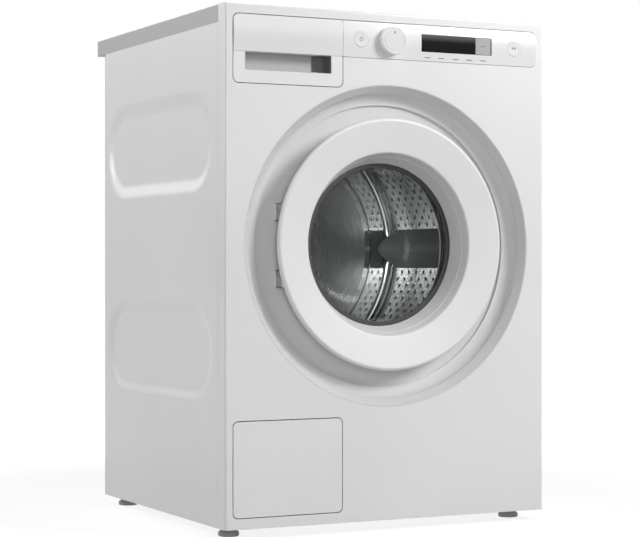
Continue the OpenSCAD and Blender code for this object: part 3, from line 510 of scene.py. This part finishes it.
def sidePanel(side):
    form = dict(sheet=1.2, gap=0.5, backFlange=18, topFlange=15, edge=0.4)
    field = dict(d0=47, d1=530, centres=(293, 637), half=85.5, slope=28, deep=5, steps=14)
    box = span("side_panel_left")  # the right panel is its mirror image
    start = span("front_panel").d1 + form["gap"]
    face = box.x0 * -side
    bm = bmesh.new()
    edges = loopOf(bm, [spot(face, d, z) for d, z in roundedBox(start, box.d1, box.z0, box.z1, 1)])
    for centre in field["centres"]:
        rings = []
        for i in range(field["steps"] + 1):
            t = i / field["steps"]
            run = field["slope"] * t
            half = field["half"] - run
            inward = field["deep"] * t * t * (3 - 2 * t)
            outline = roundedBox(field["d0"] + run, field["d1"] - run, centre - half, centre + half,
                                 half * 0.999, 12)  # a hair under half round
            rings.append(loopOf(bm, [spot(face - side * inward, d, z) for d, z in outline]))
        edges += rings[0]
        for outer, inner in zip(rings, rings[1:]):
            bmesh.ops.bridge_loops(bm, edges=outer + inner)
        bmesh.ops.contextual_create(bm, geom=rings[-1])
    bmesh.ops.triangle_fill(bm, use_beauty=True, use_dissolve=False, edges=edges, normal=(side, 0, 0))
    push(bm, bm.faces[:], (-side * form["sheet"] * mm, 0, 0))

    sheet = form["sheet"]
    inside = face - side * sheet
    back = sorted((face, inside - side * form["backFlange"]))
    top = sorted((inside, inside - side * form["topFlange"]))
    flanges = (block(*back, box.d1 - sheet, box.d1, box.z0, box.z1),
               block(*top, start, box.d1 - sheet - 0.1, box.z1 - sheet, box.z1))
    name = "left" if side < 0 else "right"
    finishPiece("side_shell_" + name, together(bm, *flanges), "side_panel_" + name, edge=form["edge"])


def worktop():
    form = dict(round=2.5, edge=0.6)
    box = span("worktop")
    bm = block(*box)
    rims = (edgesAt(bm, box.x0, None, box.z1) + edgesAt(bm, box.x1, None, box.z1)
            + edgesAt(bm, None, box.d1, box.z1) + edgesAt(bm, box.x0, box.d1) + edgesAt(bm, box.x1, box.d1))
    soften(bm, rims, form["round"], 5)
    finishPiece("top_board", bm, "worktop", edge=form["edge"])


def rearSheet():
    form = dict(lap=12, round=8, holeX=(-200, 200), holeZ=(330, 600), hole=9, inlet=(-220, 780), edge=0.3)
    box, cover = span("rear_panel"), span("rear_cover")
    ports = ((form["inlet"], 14.2), (middleOf("drain_spigot"), 13), (middleOf("cord_gland"), 8.5))
    openings = [frontOf(cover, form["lap"], form["round"])]
    openings += [circle(x, z, form["hole"], 32) for x in form["holeX"] for z in form["holeZ"]]
    openings += [circle(*centre, room, 48) for centre, room in ports]
    bm = combine(block(*box), *(prism(outline, box.d0 - 2, box.d1 + 2) for outline in openings))
    finishPiece("rear_sheet", bm, "rear_panel", edge=form["edge"])


def rearCover():
    form = dict(sheet=1.2, corner=14, step=22, stepCorner=20, round=2.8, edge=0.5)
    groove = dict(count=5, inset=50, half=5, deep=1.2)  # they stiffen the cover
    box, panel = span("rear_cover"), span("rear_panel")
    sheet = prism(frontOf(box, 0, form["corner"]), panel.d1, panel.d1 + form["sheet"])
    dish = prism(frontOf(box, form["step"], form["stepCorner"]), panel.d1 + 0.4, box.d1)
    soften(dish, edgesAt(dish, None, box.d1), form["round"], 4)
    plate = combine(sheet, dish, how="UNION")
    inset, half = groove["inset"], groove["half"]
    pitch = (box.z1 - box.z0 - 2 * inset) / (groove["count"] - 1)
    for i in range(groove["count"]):
        z = box.z0 + inset + i * pitch
        outline = roundedBox(box.x0 + inset, box.x1 - inset, z - half, z + half, half - 0.1)
        plate = combine(plate, prism(outline, box.d1 - groove["deep"], box.d1 + 2))
    finishPiece("rear_cover_sheet", plate, "rear_cover", edge=form["edge"])


recessFloor = 35.4  # how deep the flat floor round the door lies


def portholeWall():
    form = dict(creaseR=252.4, creaseD=12.5, footR=233.5, footD=31, wall=1.5, lip=3.0)
    box = span("porthole_surround")
    face = (box.z1 - box.z0) / 2 - lipUnder
    creaseR, creaseD, footR, footD = form["creaseR"], form["creaseD"], form["footR"], form["footD"]
    wall, flat, lip = form["wall"], recessFloor, form["lip"]
    run, drop = creaseR - footR, footD - creaseD
    bevel = [(face + 0.1, 1.0), (face - 0.25, 0.45), (face - 0.9, 0.5), (creaseR + 1.1, creaseD - 1.1)]
    crease = [(creaseR + 1.1, creaseD + 0.6), (creaseR - 0.1, creaseD + 0.7)]
    foot = [(footR, footD + wall), (footR + 2, footD + wall), (footR + 2, flat), (footR + 5.5, flat)]
    under = [(face - 1, lip), (face + lipUnder - 0.3, lip), (face + lipUnder - 0.3, 1.2), (face + 0.1, 1.2)]
    profile = (bevel + crease + arc(footR, creaseD, run, drop, 4, 90, 20) + foot
               + arc(footR, creaseD, run + wall, drop + wall, 74, 0, 20) + under)
    finishPiece("porthole_bevel", lathe(profile, steps=192), "porthole_surround", sharp=24,
                finish=finishes["recess_shaded_plastic"])


def portholeFloor():
    form = dict(mouth=166, latch=(175, 200, 13), jointX=-204, jointHalf=45, edge=0.2)
    box = span("porthole_floor")
    rim, mouth, flat = (box.x1 - box.x0) / 2, form["mouth"], recessFloor
    floor = lathe([(mouth, flat + 1.5), (mouth + 0.4, flat + 0.6), (mouth + 1.4, flat), (rim, flat),
                   (rim, box.d1), (mouth, box.d1)], steps=160)
    openings = [roundedBox(hinge["outer"], hinge["inner"], z - hinge["half"], z + hinge["half"], 0.8, 3)
                for z in (axisZ - hinge["apart"], axisZ + hinge["apart"])]
    x0, x1, half = form["latch"]
    openings.append(roundedBox(x0, x1, axisZ - half, axisZ + half, 2, 4))
    joint = block(form["jointX"] - 0.3, form["jointX"] + 0.3, flat - 1, flat + 0.5,
                  axisZ - form["jointHalf"], axisZ + form["jointHalf"])
    bm = combine(floor, *(prism(outline, flat - 2, box.d1 + 2) for outline in openings), joint)
    finishPiece("porthole_floor_plate", bm, "porthole_floor", edge=form["edge"],
                finish=finishes["recess_shaded_plastic"])


def bellows():
    box = span("door_gasket")
    grip, lip = (box.x1 - box.x0) / 2, 139
    profile = rounded([  # radius, depth and rounding: the clip, the folds, the tub's end, then the lip
        (171, 33, 1), (171, 35.3, 0.5), (165.6, 35.3, 0), (165.6, 38, 0), (171, 38, 0.5), (171, 40.9, 1),
        (166.5, 44.5, 1), (166.5, 52, 2.5), (grip, 57, 2.2), (grip, 62, 2.2), (166.5, 67, 2.5),
        (166.5, 90, 0.6), (162.3, 90, 0.6), (162.3, 66, 2.5), (169.8, 60.5, 0.8), (169.8, 58.5, 0.8),
        (163, 53.3, 3), (lip + 3, 60, 1), (lip, 63, 0.6), (lip, 60, 0.6), (lip + 2.5, 56.5, 1.2),
        (160, 48, 3), (160, 33, 1)], 4)
    finishPiece("bellows", lathe(profile), "door_gasket", sharp=40)


def doorRing():
    form = dict(face=-8, faceR=208, round=6, wall=2.5, skirtR=196.5, skirtD=20, windowR=151, windowD=1.5,
                seamR=145.2, seamD=15, bend=2.5, armReach=-230)
    face, faceR, turn, wall = form["face"], form["faceR"], form["round"], form["wall"]
    skirtR, skirtD, seamR, seamD = form["skirtR"], form["skirtD"], form["seamR"], form["seamD"]
    windowR, windowD = form["windowR"], form["windowD"]
    outer = arc(faceR - turn, face + turn, turn, turn, 270, 372, 14)
    inner = arc(faceR - turn, face + turn, turn - wall, turn - wall, 360, 270, 8)
    window = rounded([(seamR, seamD, 0), (windowR, windowD, form["bend"]), (faceR - turn, face, 0),
                      (faceR, face + 40, 0), (seamR, face + 40, 0)])
    slope = [p for p in window if p[1] < seamD + 0.01 and p[0] < faceR - turn - 0.01]
    skirt = [(skirtR, skirtD - 0.4), (skirtR - 0.4, skirtD), (skirtR - wall, skirtD)]
    inside = [(windowR + wall + 0.6, windowD + wall + 0.4), (seamR + wall, seamD)]
    ring = lathe(slope + outer + skirt + inner + inside, z=doorZ, steps=192)
    half = hinge["half"] - 0.25
    arms = [block(form["armReach"], hinge["inner"], 0.5, 50, z - half, z + half)
            for z in (axisZ - hinge["apart"], axisZ + hinge["apart"])]
    finishPiece("door_face", combine(ring, *arms), "door_front_ring", sharp=28)


def doorCone():
    profile = [(144.9, 15.5), (144.3, 16.2), (135.3, 38.4), (135.6, 39), (138.5, 39), (148, 18), (148, 15.3),
               (145.3, 15.3)]
    finishPiece("door_cone", lathe(profile, z=doorZ, steps=192), "door_bezel", sharp=30)


# A black ring just inside the glass: painted shade standing in for how dark the glass's thick wall looks
def glassRimShade():
    profile = rounded([(127.6, 38.8, 1.2), (134.9, 38.8, 0.3), (134.9, 42.5, 0.3), (131.2, 45, 1),
                       (127.6, 43, 1.2)], 4)
    finishPiece("glass_rim_dark_ring", lathe(profile, z=doorZ, steps=160), body="door", slot="black_rubber",
                sharp=40)


def bowl():
    form = dict(rim=147.8, outer=135, wall=4, flange=39, straight=62, floor=134, inset=4)
    belly = dict(radius=0.55, start=0.2, drop=0.566)  # shares of the bowl's radius and depth
    outer, wall, flange, floor = form["outer"], form["wall"], form["flange"], form["floor"]
    depth = floor - flange
    across = outer * belly["radius"]
    bulge = (across, form["straight"] + depth * belly["start"])
    reach, drop = outer - across - form["inset"], depth * belly["drop"]
    profile = ([(form["rim"], flange), (form["rim"], flange + wall), (outer, flange + wall),
                (outer, form["straight"])]
               + arc(*bulge, reach, drop, 0, 90, 16) + [(0, floor), (0, floor - wall)]
               + arc(*bulge, reach - wall, drop - wall, 90, 0, 16)
               + [(outer - wall, form["straight"]), (outer - wall, flange + 2),
                  (outer - wall + 1.5, flange + 0.2)])
    finishPiece("glass_bowl", lathe(profile, z=doorZ, steps=160), "door_glass", sharp=40)


def glossStrip(node, back, cuts):  # a glossy strip whose face bows out a little
    form = dict(low=-0.4, bow=1.8, steps=18)
    box = span(node)
    steps = [i / form["steps"] for i in range(form["steps"] + 1)]
    bow = [(form["low"] - form["bow"] * math.sin(math.pi * t), box.z0 + (box.z1 - box.z0) * t) for t in steps]
    strip = bar(bow + [(back, box.z1), (back, box.z0)], box.x0 - 1, box.x1 + 1)
    return combine(strip, prism(frontOf(box, 0, cuts, 10), *through), how="INTERSECT")


keys = dict(radius=13.1, power=-56, start=237)  # the two round buttons and how far across they sit


def controlStrip():
    form = dict(corner=10.5, keyGap=0.25, windowGap=0.2, knobHole=4, edge=0.35)
    corner, z = form["corner"], middleOf("program_knob")[1]
    openings = [circle(keys[key], z, keys["radius"] + form["keyGap"], 72) for key in ("power", "start")]
    openings.append(frontOf(span("display_window"), -form["windowGap"], 0.8, 4))
    openings.append(circle(0, z, form["knobHole"], 32))
    strip = glossStrip("fascia", 3, [0, corner, corner, 0])
    bm = combine(strip, *(prism(outline, *through) for outline in openings))
    finishPiece("control_strip", bm, "fascia", edge=form["edge"], sharp=28)


def display():
    form = dict(face=-1.75, bow=0.05, back=1.2, field=(161.6, 191), fieldDepth=(-1.95, -1.6),
                fieldDash=(4, 0.5), fieldDashDepth=(-2.02, -1.9), dashes=(69, 95, 123, 150, 177),
                dashHalf=5.5, dashZ=(779.4, 780.5), dashDepth=(-1.35, -0.8))
    box = span("display_window")
    middle = (box.z0 + box.z1) / 2
    face, back = form["face"], form["back"]
    section = [(face, box.z0), (face - form["bow"], middle), (face, box.z1), (back, box.z1), (back, box.z0)]
    finishPiece("display_glass", bar(section, box.x0, box.x1), "display_window", edge=0.2)

    x0, x1 = form["field"]  # silver, at the right end of the window
    field = prism(roundedBox(x0, x1, box.z0 + 0.5, box.z1 - 0.5, 0.4, 3), *form["fieldDepth"])
    finishPiece("display_field", field, body="root", slot="grey_plastic", finish=finishes["silver_field"],
                edge=0.05)

    half, thin = form["fieldDash"]
    x = (x0 + x1) / 2
    outline = roundedBox(x - half, x + half, middle - thin, middle + thin, 0.3, 2)
    marks = [prism(outline, *form["fieldDashDepth"])]
    half = form["dashHalf"]
    for x in form["dashes"]:
        outline = roundedBox(x - half, x + half, *form["dashZ"], 0.3, 2)
        marks.append(prism(outline, *form["dashDepth"]))
    finishPiece("display_marks", together(*marks), body="root", slot="grey_plastic",
                finish=finishes["grey_ink"])


def knob():
    form = dict(radius=23.5, round=2.2, groove=(17.8, 19.6), deep=1, back=-3, shaft=(3, 13),
                tick=0.06, tickHalf=0.9, tickZ=(10.5, 15.5))
    z = middleOf("program_knob")[1]
    top = span("program_knob").d0 + form["tick"]  # the pointer stands this little proud of the face
    radius, turn, deep, back = form["radius"], form["round"], form["deep"], form["back"]
    (inner, outer), (thin, end) = form["groove"], form["shaft"]
    groove = [(inner, top), (inner + 0.3, top + 0.1), (inner + 0.4, top + deep), (outer - 0.4, top + deep),
              (outer - 0.3, top + 0.1), (outer, top)]
    profile = ([(0, top)] + groove + arc(radius - turn, top + turn, turn, turn, 270, 360, 8)
               + [(radius, back - 1), (radius - 0.6, back - 0.2), (radius - 3, back), (thin, back),
                  (thin, end), (0, end)])
    finishPiece("knob_cap", lathe(profile, 0, z, 128), "program_knob", sharp=26)
    half, (low, high) = form["tickHalf"], form["tickZ"]
    pointer = prism(roundedBox(-half, half, z + low, z + high, 0.6, 3), top - form["tick"], top + 0.5)
    finishPiece("knob_pointer", pointer, body="knob", slot="grey_plastic", finish=finishes["grey_ink"])


def pushKeys():
    mark = dict(face=-2.5, back=-2.3, ring=(2.6, 3.3), opening=1.1, stem=(0.35, -0.1, 3.6),
                arrow=(3.6, 0.2, 2.1), pauses=(1.1, 2.9), pause=(0.9, 2))
    r, face, back = keys["radius"], mark["face"], mark["back"]
    z = middleOf("program_knob")[1]
    for key in ("power", "start"):
        low = span(key + "_button").d0
        profile = ([(0, low + 0.25), (r * 0.5, low + 0.18), (r - 1.4, low)]
                   + arc(r - 0.7, low + 0.7, 0.7, 0.7, 270, 360, 5) + [(r, 3), (4, 3), (4, 9.5), (0, 9.5)])
        finishPiece(key + "_button_cap", lathe(profile, keys[key], z, 96), key + "_button", sharp=30)

    x, (inner, outer) = keys["power"], mark["ring"]
    ring = lathe([(inner, face), (outer, face), (outer, back), (inner, back)], x, z - 0.3, 48)
    ring = combine(ring, block(x - mark["opening"], x + mark["opening"], -4, 0, z + 1.6, z + 4))
    half, low, high = mark["stem"]
    stem = prism(roundedBox(x - half, x + half, z + low, z + high, 0.2, 2), face, back)
    finishPiece("power_mark", together(ring, stem), body="power_key", slot="grey_plastic",
                finish=finishes["grey_ink"])

    x, (long, near, half) = keys["start"], mark["arrow"]
    arrow = prism([(x - long, z - half), (x - near, z), (x - long, z + half)], face, back)
    wide, half = mark["pause"]
    pauses = [prism(roundedBox(x + a, x + a + wide, z - half, z + half, 0.1, 1), face, back)
              for a in mark["pauses"]]
    finishPiece("start_mark", together(arrow, *pauses), body="start_key", slot="grey_plastic",
                finish=finishes["grey_ink"])


# The drawer's finger pocket, deeper from stepX on, and the rounding of the drawer's own corners
grip = dict(left=-263.5, right=-109.7, low=745, deep=22, stepX=-137, deeper=30, corner=9.5)


def drawerFace():
    form = dict(sheet=3, inset=3, wall=2, round=2, edge=0.25)
    box, tray = span("drawer_front"), span("drawer_tray")
    seam = span("drawer_strip").z0
    left, right, low = grip["left"], grip["right"], grip["low"]
    inset, wall = form["inset"], form["wall"]
    outline = roundedBox(box.x0, box.x1, box.z0, seam - 0.3, [grip["corner"], grip["corner"], 0, 0], 10)
    backing = block(box.x0 + inset, box.x1 - inset, 2.5, 6, box.z0 + inset, box.z1)
    case = block(left - wall, right + wall, 2.4, tray.d0, low - wall, box.z1)
    solid = combine(prism(outline, 0, form["sheet"]), backing, case, how="UNION")
    pocket = block(left, right, -2, grip["deep"], low, seam + 1)
    soften(pocket, edgesAt(pocket, left, None, low) + edgesAt(pocket, right, None, low), form["round"], 4)
    deep = block(grip["stepX"], right - 0.2, -1, grip["deeper"], low + 0.2, seam + 0.8)
    finishPiece("drawer_face", combine(solid, pocket, deep), "drawer_front", edge=form["edge"])


def pocketLining():  # thin grey walls just inside the pocket and its deep end; their finish paints the deep end's shade
    form = dict(gap=0.3, wall=0.7)
    seam, gap, wall = span("drawer_strip").z0, form["gap"], form["wall"]
    left, right, low = grip["left"] + gap, grip["right"] - gap, grip["low"] + gap
    rooms = [(left, right, 0.6, grip["deep"] - 0.1, low, seam - 0.4),
             (grip["stepX"] + gap, right - 0.1, 0.7, grip["deeper"] - 0.1, low + 0.1, seam - 0.5)]
    outside = combine(*(block(*room) for room in rooms), how="UNION")
    hollows = [block(x0 + wall, x1 - wall, front, d1 - wall, z0 + wall, z1 - wall)  # open to the front
               for (x0, x1, d0, d1, z0, z1), front in zip(rooms, (-2, -3))]
    finishPiece("pocket_lining", combine(outside, *hollows), body="drawer", slot="grey_plastic",
                finish=pocketShadedGrey("pocket_grey_shaded", grip["stepX"] * mm))


def drawerStrip():
    strip = glossStrip("drawer_strip", 2.9, [0, 0, 0, grip["corner"]])
    finishPiece("drawer_gloss_strip", strip, "drawer_strip", edge=0.35, sharp=28)


def flap():
    form = dict(low=35.2, inset=0.2, sheet=3, corner=8.5, pivotZ=47, pivotD=5, peg=2.5, ear=4,
                earDepth=(2.4, 8), edge=0.25)
    box, drawer = span("service_flap"), span("drawer_front")
    left, right = drawer.x0, drawer.x1 - 0.6
    inset, ear, pivot = form["inset"], form["ear"], form["pivotZ"]
    outline = roundedBox(left + inset, right - inset, form["low"], box.z1 - inset, form["corner"], 10)
    ears = [block(x, x + ear, *form["earDepth"], pivot - ear, pivot + ear) for x in (left, right - ear)]
    pegs = []
    for a, b in ((box.x0, left + 1), (right - 1.4, box.x1)):
        peg = bmesh.new()
        place = Matrix.Translation(spot((a + b) / 2, form["pivotD"], pivot))
        bmesh.ops.create_cone(peg, cap_ends=True, segments=32, radius1=form["peg"] * mm,
                              radius2=form["peg"] * mm, depth=(b - a) * mm,
                              matrix=place @ Matrix.Rotation(math.pi / 2, 4, "Y"))
        pegs.append(peg)
    bm = combine(prism(outline, 0, form["sheet"]), *ears, *pegs, how="UNION")
    finishPiece("flap_plate", bm, "service_flap", edge=form["edge"])


# The drum's sheet, the radii of its two rolled ends, how far its face lies behind the mouth's lip
drumForm = dict(sheet=1.5, front=12, rear=18, face=4, mouth=158)


def drumWall():
    form = dict(columns=120, rows=22, hole=6.2, cut=0.29)
    box = span("drum_shell")
    outer = (box.x1 - box.x0) / 2
    first, last = box.d0 + drumForm["face"] + drumForm["front"], box.d1 - drumForm["rear"]
    around, along = 2 * math.pi * outer, last - first
    pitchX, pitchY = around / form["columns"], along / form["rows"]
    wall = bmesh.new()
    bmesh.ops.create_grid(wall, x_segments=form["columns"], y_segments=form["rows"], size=0.5)
    bmesh.ops.scale(wall, vec=(around, along, 1), verts=wall.verts[:])

    def holed(face):  # every other field, but none beside the two ends
        middle = face.calc_center_median()
        column, row = round(middle.x / pitchX - 0.5), round(middle.y / pitchY - 0.5)
        return (column + row) % 2 and abs(middle.y) < along / 2 - pitchY

    fields = [f for f in wall.faces if holed(f)]
    land = (pitchX - form["hole"]) / 2
    bmesh.ops.inset_individual(wall, faces=fields, thickness=land, use_even_offset=True)
    corners = list({v for f in fields for v in f.verts})
    bmesh.ops.bevel(wall, geom=corners, offset=form["hole"] * form["cut"], segments=1, profile=0.5,
                    affect="VERTICES", material=-1, clamp_overlap=False)
    holes = [f for f in wall.faces if len(f.verts) == 8 and f.calc_area() < form["hole"] ** 2]
    bmesh.ops.delete(wall, geom=holes, context="FACES")
    for v in wall.verts:  # rolled up round the axis
        angle = v.co.x / outer
        v.co = spot(outer * math.sin(angle), (first + last) / 2 + v.co.y, axisZ + outer * math.cos(angle))
    bmesh.ops.remove_doubles(wall, verts=wall.verts[:], dist=0.02 * mm)
    bmesh.ops.recalc_face_normals(wall, faces=wall.faces[:])
    piece = finishPiece("drum_wall", wall, "drum_shell", sharp=80)
    thick = piece.modifiers.new("sheet", "SOLIDIFY")
    thick.thickness = drumForm["sheet"] * mm
    thick.offset = -1
    piece.modifiers.move(piece.modifiers.find("sheet"), 0)


def drumFront():
    box = span("drum_shell")
    outer = (box.x1 - box.x0) / 2
    sheet, roll, mouth = drumForm["sheet"], drumForm["front"], drumForm["mouth"]
    face, rim = box.d0 + drumForm["face"], outer - roll
    lip = [(mouth, box.d0), (mouth + sheet, box.d0), (mouth + sheet, box.d0 + 3), (mouth + sheet + 1, face)]
    profile = (lip + [(rim, face)] + arc(rim, face + roll, roll, roll, 270, 360, 8)
               + arc(rim, face + roll, roll - sheet, roll - sheet, 360, 270, 8)
               + [(mouth + 2, face + sheet), (mouth, box.d0 + 3)])
    finishPiece("drum_front_ring", lathe(profile), body="drum", slot="stainless", sharp=50)


def drumBack():  # a rolled rim, then a step down to a flat disc with the hub's opening
    form = dict(step=(182, 196), dish=14, hub=26, rings=12, round=5, bright=4)
    box = span("drum_shell")
    sheet, roll = drumForm["sheet"], drumForm["rear"]
    rim, last = (box.x1 - box.x0) / 2 - roll, box.d1 - roll
    inner, step = form["step"]
    hub, middle, rings = form["hub"], box.d1 - form["dish"], form["rings"]
    outside = rounded([(230, box.d1 + 20, 0), (230, box.d1, 0), (step, box.d1, form["round"]),
                       (inner, middle, form["round"]), (hub, middle, 0), (hub, middle + 40, 0)], 4)[2:-2]
    disc = [(inner - (inner - hub) * i / rings, middle - sheet) for i in reversed(range(rings + 1))]
    inside = [(inner + 4, middle - sheet - 0.2), (step - 3, box.d1 - sheet + 0.6), (step + 3, box.d1 - sheet)]
    profile = (arc(rim, last, roll, roll, 0, 90, 8) + outside + [(hub, middle), (hub, middle - sheet)]
               + disc + inside + arc(rim, last, roll - sheet, roll - sheet, 90, 0, 8))
    finishPiece("drum_back", lathe(profile, steps=180), body="drum", slot="stainless", sharp=50,
                finish=stainless("bright_stainless", (inner - form["bright"]) * mm))


def drumRibs():
    form = dict(count=3, gap=4, foot=36, shoulder=(32, 15), crest=44, end=5)
    box, drum = span("drum_lifters"), span("drum_shell")
    foot = (drum.x1 - drum.x0) / 2 - drumForm["sheet"] - form["gap"]
    rise, half = form["shoulder"]
    section = rounded([(foot, axisZ - form["foot"], 0), (foot, axisZ + form["foot"], 0),
                       (foot - rise, axisZ + half, 6), (foot - form["crest"], axisZ, 10),
                       (foot - rise, axisZ - half, 6)], 6)
    ribs = []
    for i in range(form["count"]):
        rib = prism(section, box.d0, box.d1)
        soften(rib, edgesAt(rib, None, box.d0) + edgesAt(rib, None, box.d1), form["end"], 4)
        turn = Matrix.Rotation(math.radians(360 * i / form["count"]), 3, "Y")
        bmesh.ops.rotate(rib, cent=spot(0, 0, axisZ), matrix=turn, verts=rib.verts[:])
        ribs.append(rib)
    finishPiece("drum_ribs", together(*ribs), "drum_lifters", sharp=40)


def feet():
    form = dict(stem=5.0, start=10.6, pitch=1.5, thread=0.7)
    for node in ("foot_front_left", "foot_front_right", "foot_rear_left", "foot_rear_right"):
        box = span(node)
        x, d, r = (box.x0 + box.x1) / 2, (box.d0 + box.d1) / 2, (box.x1 - box.x0) / 2
        stem, pitch = form["stem"], form["pitch"]
        profile = [(0, 0), (r - 1.2, 0), (r, 1.2), (r, 6), (r - 0.8, 7), (12, 10), (5, 10)]
        for i in range(int((box.z1 - 11) / pitch)):  # the thread's ridges
            z = form["start"] + i * pitch
            profile += [(stem, z), (stem - form["thread"], z + form["thread"])]
        profile += [(stem - 0.6, box.z1), (0, box.z1)]
        bm = bmesh.new()
        edges = loopOf(bm, [spot(x + a, d, b) for a, b in profile])
        spin(bm, edges, spot(x, d, 0), (0, 0, 1), 48)
        finishPiece(node + "_pad", bm, node, sharp=28)


for build in (frontPanel, worktop, rearSheet, rearCover, portholeWall, portholeFloor, bellows, doorRing,
              doorCone, glassRimShade, bowl, controlStrip, display, knob, pushKeys, drawerFace, pocketLining,
              drawerStrip, flap, drumWall, drumFront, drumBack, drumRibs, feet):
    build()
    print(build.__name__, "made")
for side in (-1, 1):
    sidePanel(side)
print("sides made")

for node, thing in nodes.items():
    thing.data.materials.clear()
    thing.data.materials.append(finishes[slotOf[node]])
print("CAD nodes painted")


def ground():  # a plain floor that runs out to white
    form = dict(half=30, low=grey(150), high=grey(156), glow=0.8, plain=(0.6, 1.5))
    sheet = bmesh.new()
    bmesh.ops.create_grid(sheet, x_segments=1, y_segments=1, size=form["half"])
    floor = asObject(sheet)
    floor.name = "ground"
    paint = Paint("ground")
    kinds = ("Camera", "Glossy", "Transmission")
    rays = [paint.node("ShaderNodeLightPath", out=f"Is {kind} Ray") for kind in kinds]
    seen = rays[0].math("MAXIMUM", rays[1]).math("MAXIMUM", rays[2])
    pale = paint.mix(paint.noise(0.6, 2), form["low"], form["high"])
    lit = paint.node("ShaderNodeBsdfDiffuse", None, {"Color": pale})
    x, y = paint.parts()[:2]
    far = ((x * x + y * y) ** 0.5).ease(*form["plain"])
    strength = seen * (far * (1 - form["glow"]) + form["glow"])
    glow = paint.node("ShaderNodeEmission", None, {"Color": (1, 1, 1, 1), "Strength": strength})
    floor.data.materials.append(paint.done(paint.node("ShaderNodeAddShader", None, {0: lit, 1: glow})))


def studioSky():  # white to the eye, dim as a light, and split at the horizon where it is mirrored
    form = dict(ambient=0.1, low=0.8, high=1.9, edge=(5, 12))
    world = bpy.data.worlds.new("studio")
    bpy.context.scene.world = world
    paint = Paint("studio", world)
    eyeRay, glossy, through = (paint.node("ShaderNodeLightPath", out=f"Is {kind} Ray")
                               for kind in ("Camera", "Glossy", "Transmission"))
    edge = (math.sin(math.radians(degrees)) for degrees in form["edge"])
    gloss = paint.parts()[2].ease(*edge) * (form["high"] - form["low"]) + form["low"]
    strength = glossy.math("MAXIMUM", through) * (gloss - form["ambient"]) + form["ambient"]
    strength = eyeRay * (1 - strength) + strength
    plain = paint.node("ShaderNodeBackground", None, {"Color": (1, 1, 1, 1), "Strength": strength})
    paint.done(plain, "ShaderNodeOutputWorld")


def lamps():  # soft discs that all face the machine's middle
    form = dict(size=1.2, away=3.2, middle=(0, 0, 0.43), places=[  # degrees to the right and up, watts
        (38, 28, 62), (-24, 4, 19), (-85, 40, 26), (-125, 16, 20)])
    for azimuth, rise, watts in form["places"]:
        across, up = math.radians(azimuth), math.radians(rise)
        way = Vector((math.sin(across) * math.cos(up), -math.cos(across) * math.cos(up), math.sin(up)))
        lamp = bpy.data.lights.new("studio_lamp", "AREA")
        lamp.shape = "DISK"
        lamp.size = form["size"]
        lamp.energy = watts
        holder = bpy.data.objects.new("studio_lamp", lamp)
        bpy.context.collection.objects.link(holder)
        holder.location = Vector(form["middle"]) + way * form["away"]
        holder.rotation_euler = (-way).to_track_quat("-Z", "Y").to_euler()


for light in (ground, studioSky, lamps):
    light()
bpy.context.scene.view_settings.view_transform = "Standard"
print("studio made")
